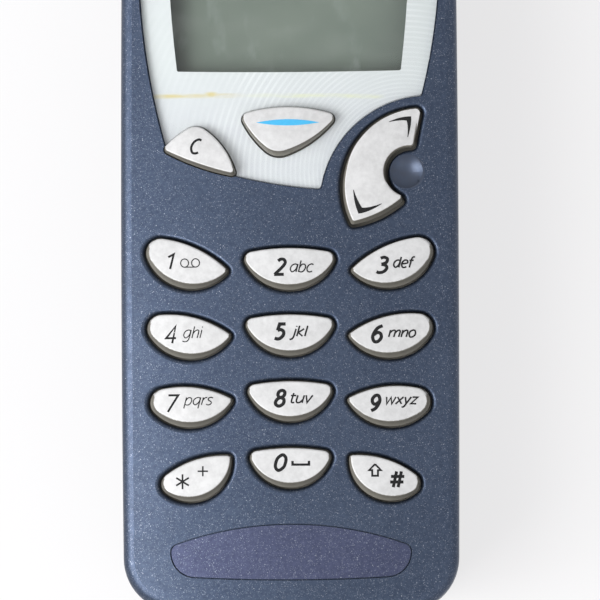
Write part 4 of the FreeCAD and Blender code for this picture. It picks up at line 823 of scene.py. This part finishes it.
class Growth(Nodes):
    # A geometry nodes tree with named inputs, run once and turned into a plain mesh
    def __init__(self, name, inputs):
        self.tree = bpy.data.node_groups.new(name, "GeometryNodeTree")
        self.identifiers = {}
        self.values = {}
        self.socket("Geometry", "Geometry")
        for label, (kind, value) in {**inputs, "Material": ("Material", None)}.items():
            self.identifiers[label] = self.socket(label, kind).identifier
            self.values[label] = value
        self.socket("Geometry", "Geometry", "OUTPUT")
        self.source = self.tree.nodes.new("NodeGroupInput")
        self.end = self.tree.nodes.new("NodeGroupOutput")

    def socket(self, label, kind, way="INPUT"):
        return self.tree.interface.new_socket(label, in_out=way, socket_type="NodeSocket" + kind)

    def given(self, label):
        return self.source.outputs[label]

    def form(self, kind, sockets=None, **settings):
        return addNode(self.tree, "GeometryNode" + kind, sockets, **settings)

    def vector(self, x=0.0, y=0.0, z=0.0):
        return self.add("CombineXYZ", {"X": x, "Y": y, "Z": z}).outputs[0]

    def place(self):
        return self.form("InputPosition").outputs[0]

    def moved(self, geometry, place, rotation=(0, 0, 0)):
        sockets = {"Geometry": geometry, "Translation": place, "Rotation": rotation}
        return self.form("Transform", sockets).outputs[0]

    def shifted(self, geometry, offset):
        sockets = {"Geometry": geometry, "Offset": offset}
        return self.form("SetPosition", sockets).outputs[0]

    def joined(self, parts):
        join = self.form("JoinGeometry")
        for part in parts:
            self.tree.links.new(part, join.inputs[0])
        return join.outputs[0]

    def random(self, sockets, kind, output):
        node = addNode(self.tree, "FunctionNodeRandomValue", sockets, data_type=kind)
        return node.outputs[output]

    def grow(self, name, geometry, finishName, body, slot):
        real = self.form("RealizeInstances", {"Geometry": geometry})
        sockets = {"Geometry": real.outputs[0], "Material": self.given("Material")}
        self.tree.links.new(self.form("SetMaterial", sockets).outputs[0], self.end.inputs[0])
        self.values["Material"] = finishes[finishName]
        holder = linked(name + "Holder", bpy.data.meshes.new(name + "Holder"))
        modifier = holder.modifiers.new("growth", "NODES")
        modifier.node_group = self.tree
        for label, value in self.values.items():
            modifier[self.identifiers[label]] = value
        evaluated = holder.evaluated_get(bpy.context.evaluated_depsgraph_get())
        mesh = bpy.data.meshes.new_from_object(evaluated)
        mesh.name = name
        bpy.data.objects.remove(holder)
        piece = linked(name, mesh)
        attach(piece, body)


# The two sets of threads lie a little over and under each other, just below the screen's top
dustLook = {"reach": 5.1, "pitch": 0.42, "thread": 0.055, "below": 0.12, "over": 0.045,
            "sides": 5, "bends": 14}


def weaveDustMesh(look):
    # Crossing threads of the earpiece's dust mesh, bent with the crowned cover
    growth = Growth("dustWeave", {
        label: ("Float", look[label.lower()] * mm) for label in ("Reach", "Pitch", "Thread")})
    low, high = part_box("earpiece_screen")
    middle = (low + high) / 2
    reach, pitch, thread = (growth.given(label) for label in ("Reach", "Pitch", "Thread"))
    half = growth.calc("FLOOR", growth.calc("DIVIDE", reach, pitch))
    count = growth.calc("ADD", growth.times(half, 2.0), 1.0)
    start = growth.times(growth.times(half, pitch), -1.0)
    sets = []
    for turn, rise in ((0.0, look["over"]), (math.pi / 2, -look["over"])):
        sockets = {"Count": count, "Start Location": growth.vector(x=start),
                   "Offset": growth.vector(x=pitch)}
        line = growth.form("MeshLine", sockets, mode="OFFSET")
        # Each thread is as long as the round opening is wide where it crosses
        x = growth.axes(growth.place())["X"]
        left = growth.calc("SUBTRACT", growth.times(reach, reach), growth.times(x, x))
        left = growth.calc("SQRT", growth.calc("MAXIMUM", left, 1e-9))
        length = growth.times(left, 2.0)
        sockets = {"Vertices": look["sides"], "Side Segments": look["bends"],
                   "Radius": thread, "Depth": 1.0}
        wire = growth.form("MeshCylinder", sockets)
        laid = growth.moved(wire.outputs[0], (0, 0, 0), (math.pi / 2, 0, 0))
        sockets = {"Points": line.outputs[0], "Instance": laid,
                   "Scale": growth.vector(1.0, length, 1.0)}
        put = growth.form("InstanceOnPoints", sockets)
        place = (middle.x, middle.y, high.z - look["below"] * mm + rise * mm)
        sets.append(growth.moved(put.outputs[0], place, (0, 0, turn)))
    real = growth.form("RealizeInstances", {"Geometry": growth.joined(sets)})
    spot = growth.axes(growth.place())
    crossRound, alongRound = (2 * faceForm[label] * mm for label in ("crossFall", "alongFall"))
    crownY = faceForm["crownY"] * mm
    crossDrop = growth.calc("DIVIDE", growth.times(spot["X"], spot["X"]), crossRound)
    fromCrown = growth.calc("SUBTRACT", spot["Y"], crownY)
    alongDrop = growth.calc("DIVIDE", growth.times(fromCrown, fromCrown), alongRound)
    alongDrop = growth.calc("SUBTRACT", alongDrop, (low.y - crownY) ** 2 / alongRound)
    drop = growth.times(growth.calc("ADD", crossDrop, alongDrop), -1.0)
    bent = growth.shifted(real.outputs[0], growth.vector(z=drop))
    growth.grow("dust_mesh", bent, "tinnedSheet", "cover", "mesh_dark")


# Small soldered parts: a black body between two tinned ends. A span is a share of the length.
partLook = {"across": 13, "along": 8, "width": 31.0, "length": 18.0, "middleY": 51.6,
            "clear": 7.0, "keep": 0.55, "jitter": 0.25, "seed": 7, "turnSeed": 3,
            "size": (1.5, 0.8, 0.6), "bodySpans": [(-0.36, 0.36)], "bodySwell": 0.94,
            "endSpans": [(-0.5, -0.32), (0.32, 0.5)], "endSwell": 1.0}


def scatterBoardParts(look, name, kind, finishName, slot):
    # On the keypad board above the display, clear of the earpiece
    inputs = {label: ("Int", look[label.lower()]) for label in ("Across", "Along", "Seed")}
    for label in ("Width", "Length", "Clear"):
        inputs[label] = ("Float", look[label.lower()] * mm)
    growth = Growth(name + "Tree", {**inputs, "Keep": ("Float", look["keep"])})
    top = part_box("keypad_board")[1].z
    low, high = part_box("earpiece")
    middle = (low + high) / 2
    sockets = {"Size X": growth.given("Width"), "Size Y": growth.given("Length"),
               "Vertices X": growth.given("Across"), "Vertices Y": growth.given("Along")}
    grid = growth.form("MeshGrid", sockets)
    laid = growth.moved(grid.outputs[0], (0, look["middleY"] * mm, top))
    sockets = {0: growth.place(), 1: (middle.x, middle.y, top)}
    away = growth.add("VectorMath", sockets, operation="DISTANCE")
    near = growth.calc("LESS_THAN", away.outputs["Value"], growth.given("Clear"))
    seed = growth.given("Seed")
    chance = growth.random({"Seed": seed}, "FLOAT", 1)
    dropped = growth.calc("GREATER_THAN", chance, growth.given("Keep"))
    sockets = {"Geometry": laid, "Selection": growth.calc("MAXIMUM", near, dropped)}
    kept = growth.form("DeleteGeometry", sockets, domain="POINT")
    jitter = look["jitter"] * mm
    reach = {0: (-jitter, -jitter, 0), 1: (jitter, jitter, 0), "Seed": seed}
    moved = growth.shifted(kept.outputs[0], growth.random(reach, "FLOAT_VECTOR", 0))
    swell = look[kind + "Swell"]
    length, width, height = (side * mm for side in look["size"])
    boxes = []
    for start, end in look[kind + "Spans"]:
        size = ((end - start) * length, width * swell, height * swell)
        box = growth.form("MeshCube", {"Size": size})
        place = ((start + end) / 2 * length, 0, height * swell / 2)
        boxes.append(growth.moved(box.outputs[0], place))
    part = growth.joined(boxes)
    quarter = growth.random({4: 0, 5: 1, "Seed": look["turnSeed"]}, "INT", 2)
    turn = growth.vector(z=growth.times(quarter, math.pi / 2))
    sockets = {"Points": moved, "Instance": part, "Rotation": turn}
    placed = growth.form("InstanceOnPoints", sockets)
    growth.grow(name, placed.outputs[0], finishName, "handset", slot)


print("growing what repeats")
weaveDustMesh(dustLook)
scatterBoardParts(partLook, "board_part_bodies", "body", "chipEpoxy", "chip_black")
scatterBoardParts(partLook, "board_part_ends", "end", "tinnedSheet", "shield_tin")


stageLook = {"size": 2.4, "squares": 12, "colour": (0.955, 0.950, 0.958), "shade": 0.99,
             "cloud": (90.0, 1.0), "ownShine": 0.74, "sky": (1.0, 1.0, 1.0, 1.0),
             "skyLight": 0.49, "skyShown": 0.97}


def seenRays(tree):
    # 1 for what the camera sees straight, in a reflection or through the lens, else 0
    rays = addNode(tree, "ShaderNodeLightPath").outputs
    seen = rays["Is Camera Ray"]
    for label in ("Is Glossy Ray", "Is Transmission Ray"):
        sockets = {0: seen, 1: rays[label]}
        seen = addNode(tree, "ShaderNodeMath", sockets, operation="MAXIMUM").outputs[0]
    return seen


def makeFloor(look):
    build = bmesh.new()
    squares = look["squares"]
    bmesh.ops.create_grid(build, x_segments=squares, y_segments=squares, size=look["size"] / 2)
    mesh = bpy.data.meshes.new("floor")
    build.to_mesh(mesh)
    build.free()
    finish = Finish("paleFloor")
    tone = finish.clouds(look["cloud"], 0.3, 0.7)
    shade = tuple(value * look["shade"] for value in look["colour"])
    colour = finish.blend(tone, shade, look["colour"])
    # To the camera, and in reflections, the floor also shines a little, so that its shadow
    # stays light
    lit = finish.add("BsdfDiffuse", {"Color": colour})
    shine = finish.add("Emission", {"Color": colour, "Strength": 1.0})
    share = finish.times(seenRays(finish.tree), look["ownShine"])
    mesh.materials.append(finish.end(finish.mix(share, lit, shine)))
    floor = linked("floor", mesh)


def makeSky(look):
    world = bpy.data.worlds.new("studio")
    world.use_nodes = True
    tree = world.node_tree
    tree.nodes.clear()
    sockets = {"Value": seenRays(tree), "To Min": look["skyLight"], "To Max": look["skyShown"]}
    strength = addNode(tree, "ShaderNodeMapRange", sockets).outputs["Result"]
    sockets = {"Color": look["sky"], "Strength": strength}
    sky = addNode(tree, "ShaderNodeBackground", sockets)
    addNode(tree, "ShaderNodeOutputWorld", {"Surface": sky.outputs[0]})
    bpy.context.scene.world = world


# In metres and watts: each lamp's place and power
lampLook = {"aim": (0, -0.02, 0.02), "size": 0.60, "lamps": {
    "keyLamp": ((-0.58, -0.28, 0.77), 7.2), "sideLamp": ((-0.86, -0.09, 0.50), 3.8),
    "fillLamp": ((0.50, -0.50, 0.71), 0.7)}}


def makeLamps(look):
    for name, (place, power) in look["lamps"].items():
        lamp = bpy.data.lights.new(name, "AREA")
        lamp.shape = "SQUARE"
        lamp.size = look["size"]
        lamp.energy = power
        place = Vector(place)
        turned = (Vector(look["aim"]) - place).to_track_quat("-Z", "Y").to_matrix().to_4x4()
        linked(name, lamp).matrix_world = Matrix.Translation(place) @ turned


# Aim and distance in millimetres, angles in degrees
cameraLook = {"aim": (1.432, -23.0, 29.23), "tilt": 5.0, "turn": 0.8, "roll": 0.25,
              "distance": 420.0, "lens": 183.0, "sensor": 36.0, "nearest": 0.01}


def makeCamera(look):
    tilt, turn, roll = (math.radians(look[key]) for key in ("tilt", "turn", "roll"))
    back = Vector((math.sin(turn) * math.cos(tilt), -math.sin(tilt),
                   math.cos(tilt) * math.cos(turn)))
    view = -back.normalized()
    right = view.cross(Vector((0, 1, 0))).normalized()
    up = right.cross(view)
    rolledRight = right * math.cos(roll) - up * math.sin(roll)
    rolledUp = up * math.cos(roll) + right * math.sin(roll)
    place = (Vector(look["aim"]) - view * look["distance"]) * mm
    camera = bpy.data.cameras.new("camera")
    camera.sensor_width = look["sensor"]
    camera.lens = look["lens"]
    camera.clip_start = look["nearest"]
    camera.dof.use_dof = False
    holder = linked("camera", camera)
    axes = Matrix((rolledRight, rolledUp, -view)).transposed()
    holder.matrix_world = Matrix.Translation(place) @ axes.to_4x4()
    bpy.context.scene.camera = holder


print("setting the stage")
makeFloor(stageLook)
makeSky(stageLook)
makeLamps(lampLook)
makeCamera(cameraLook)
bpy.context.scene.view_settings.view_transform = "Standard"
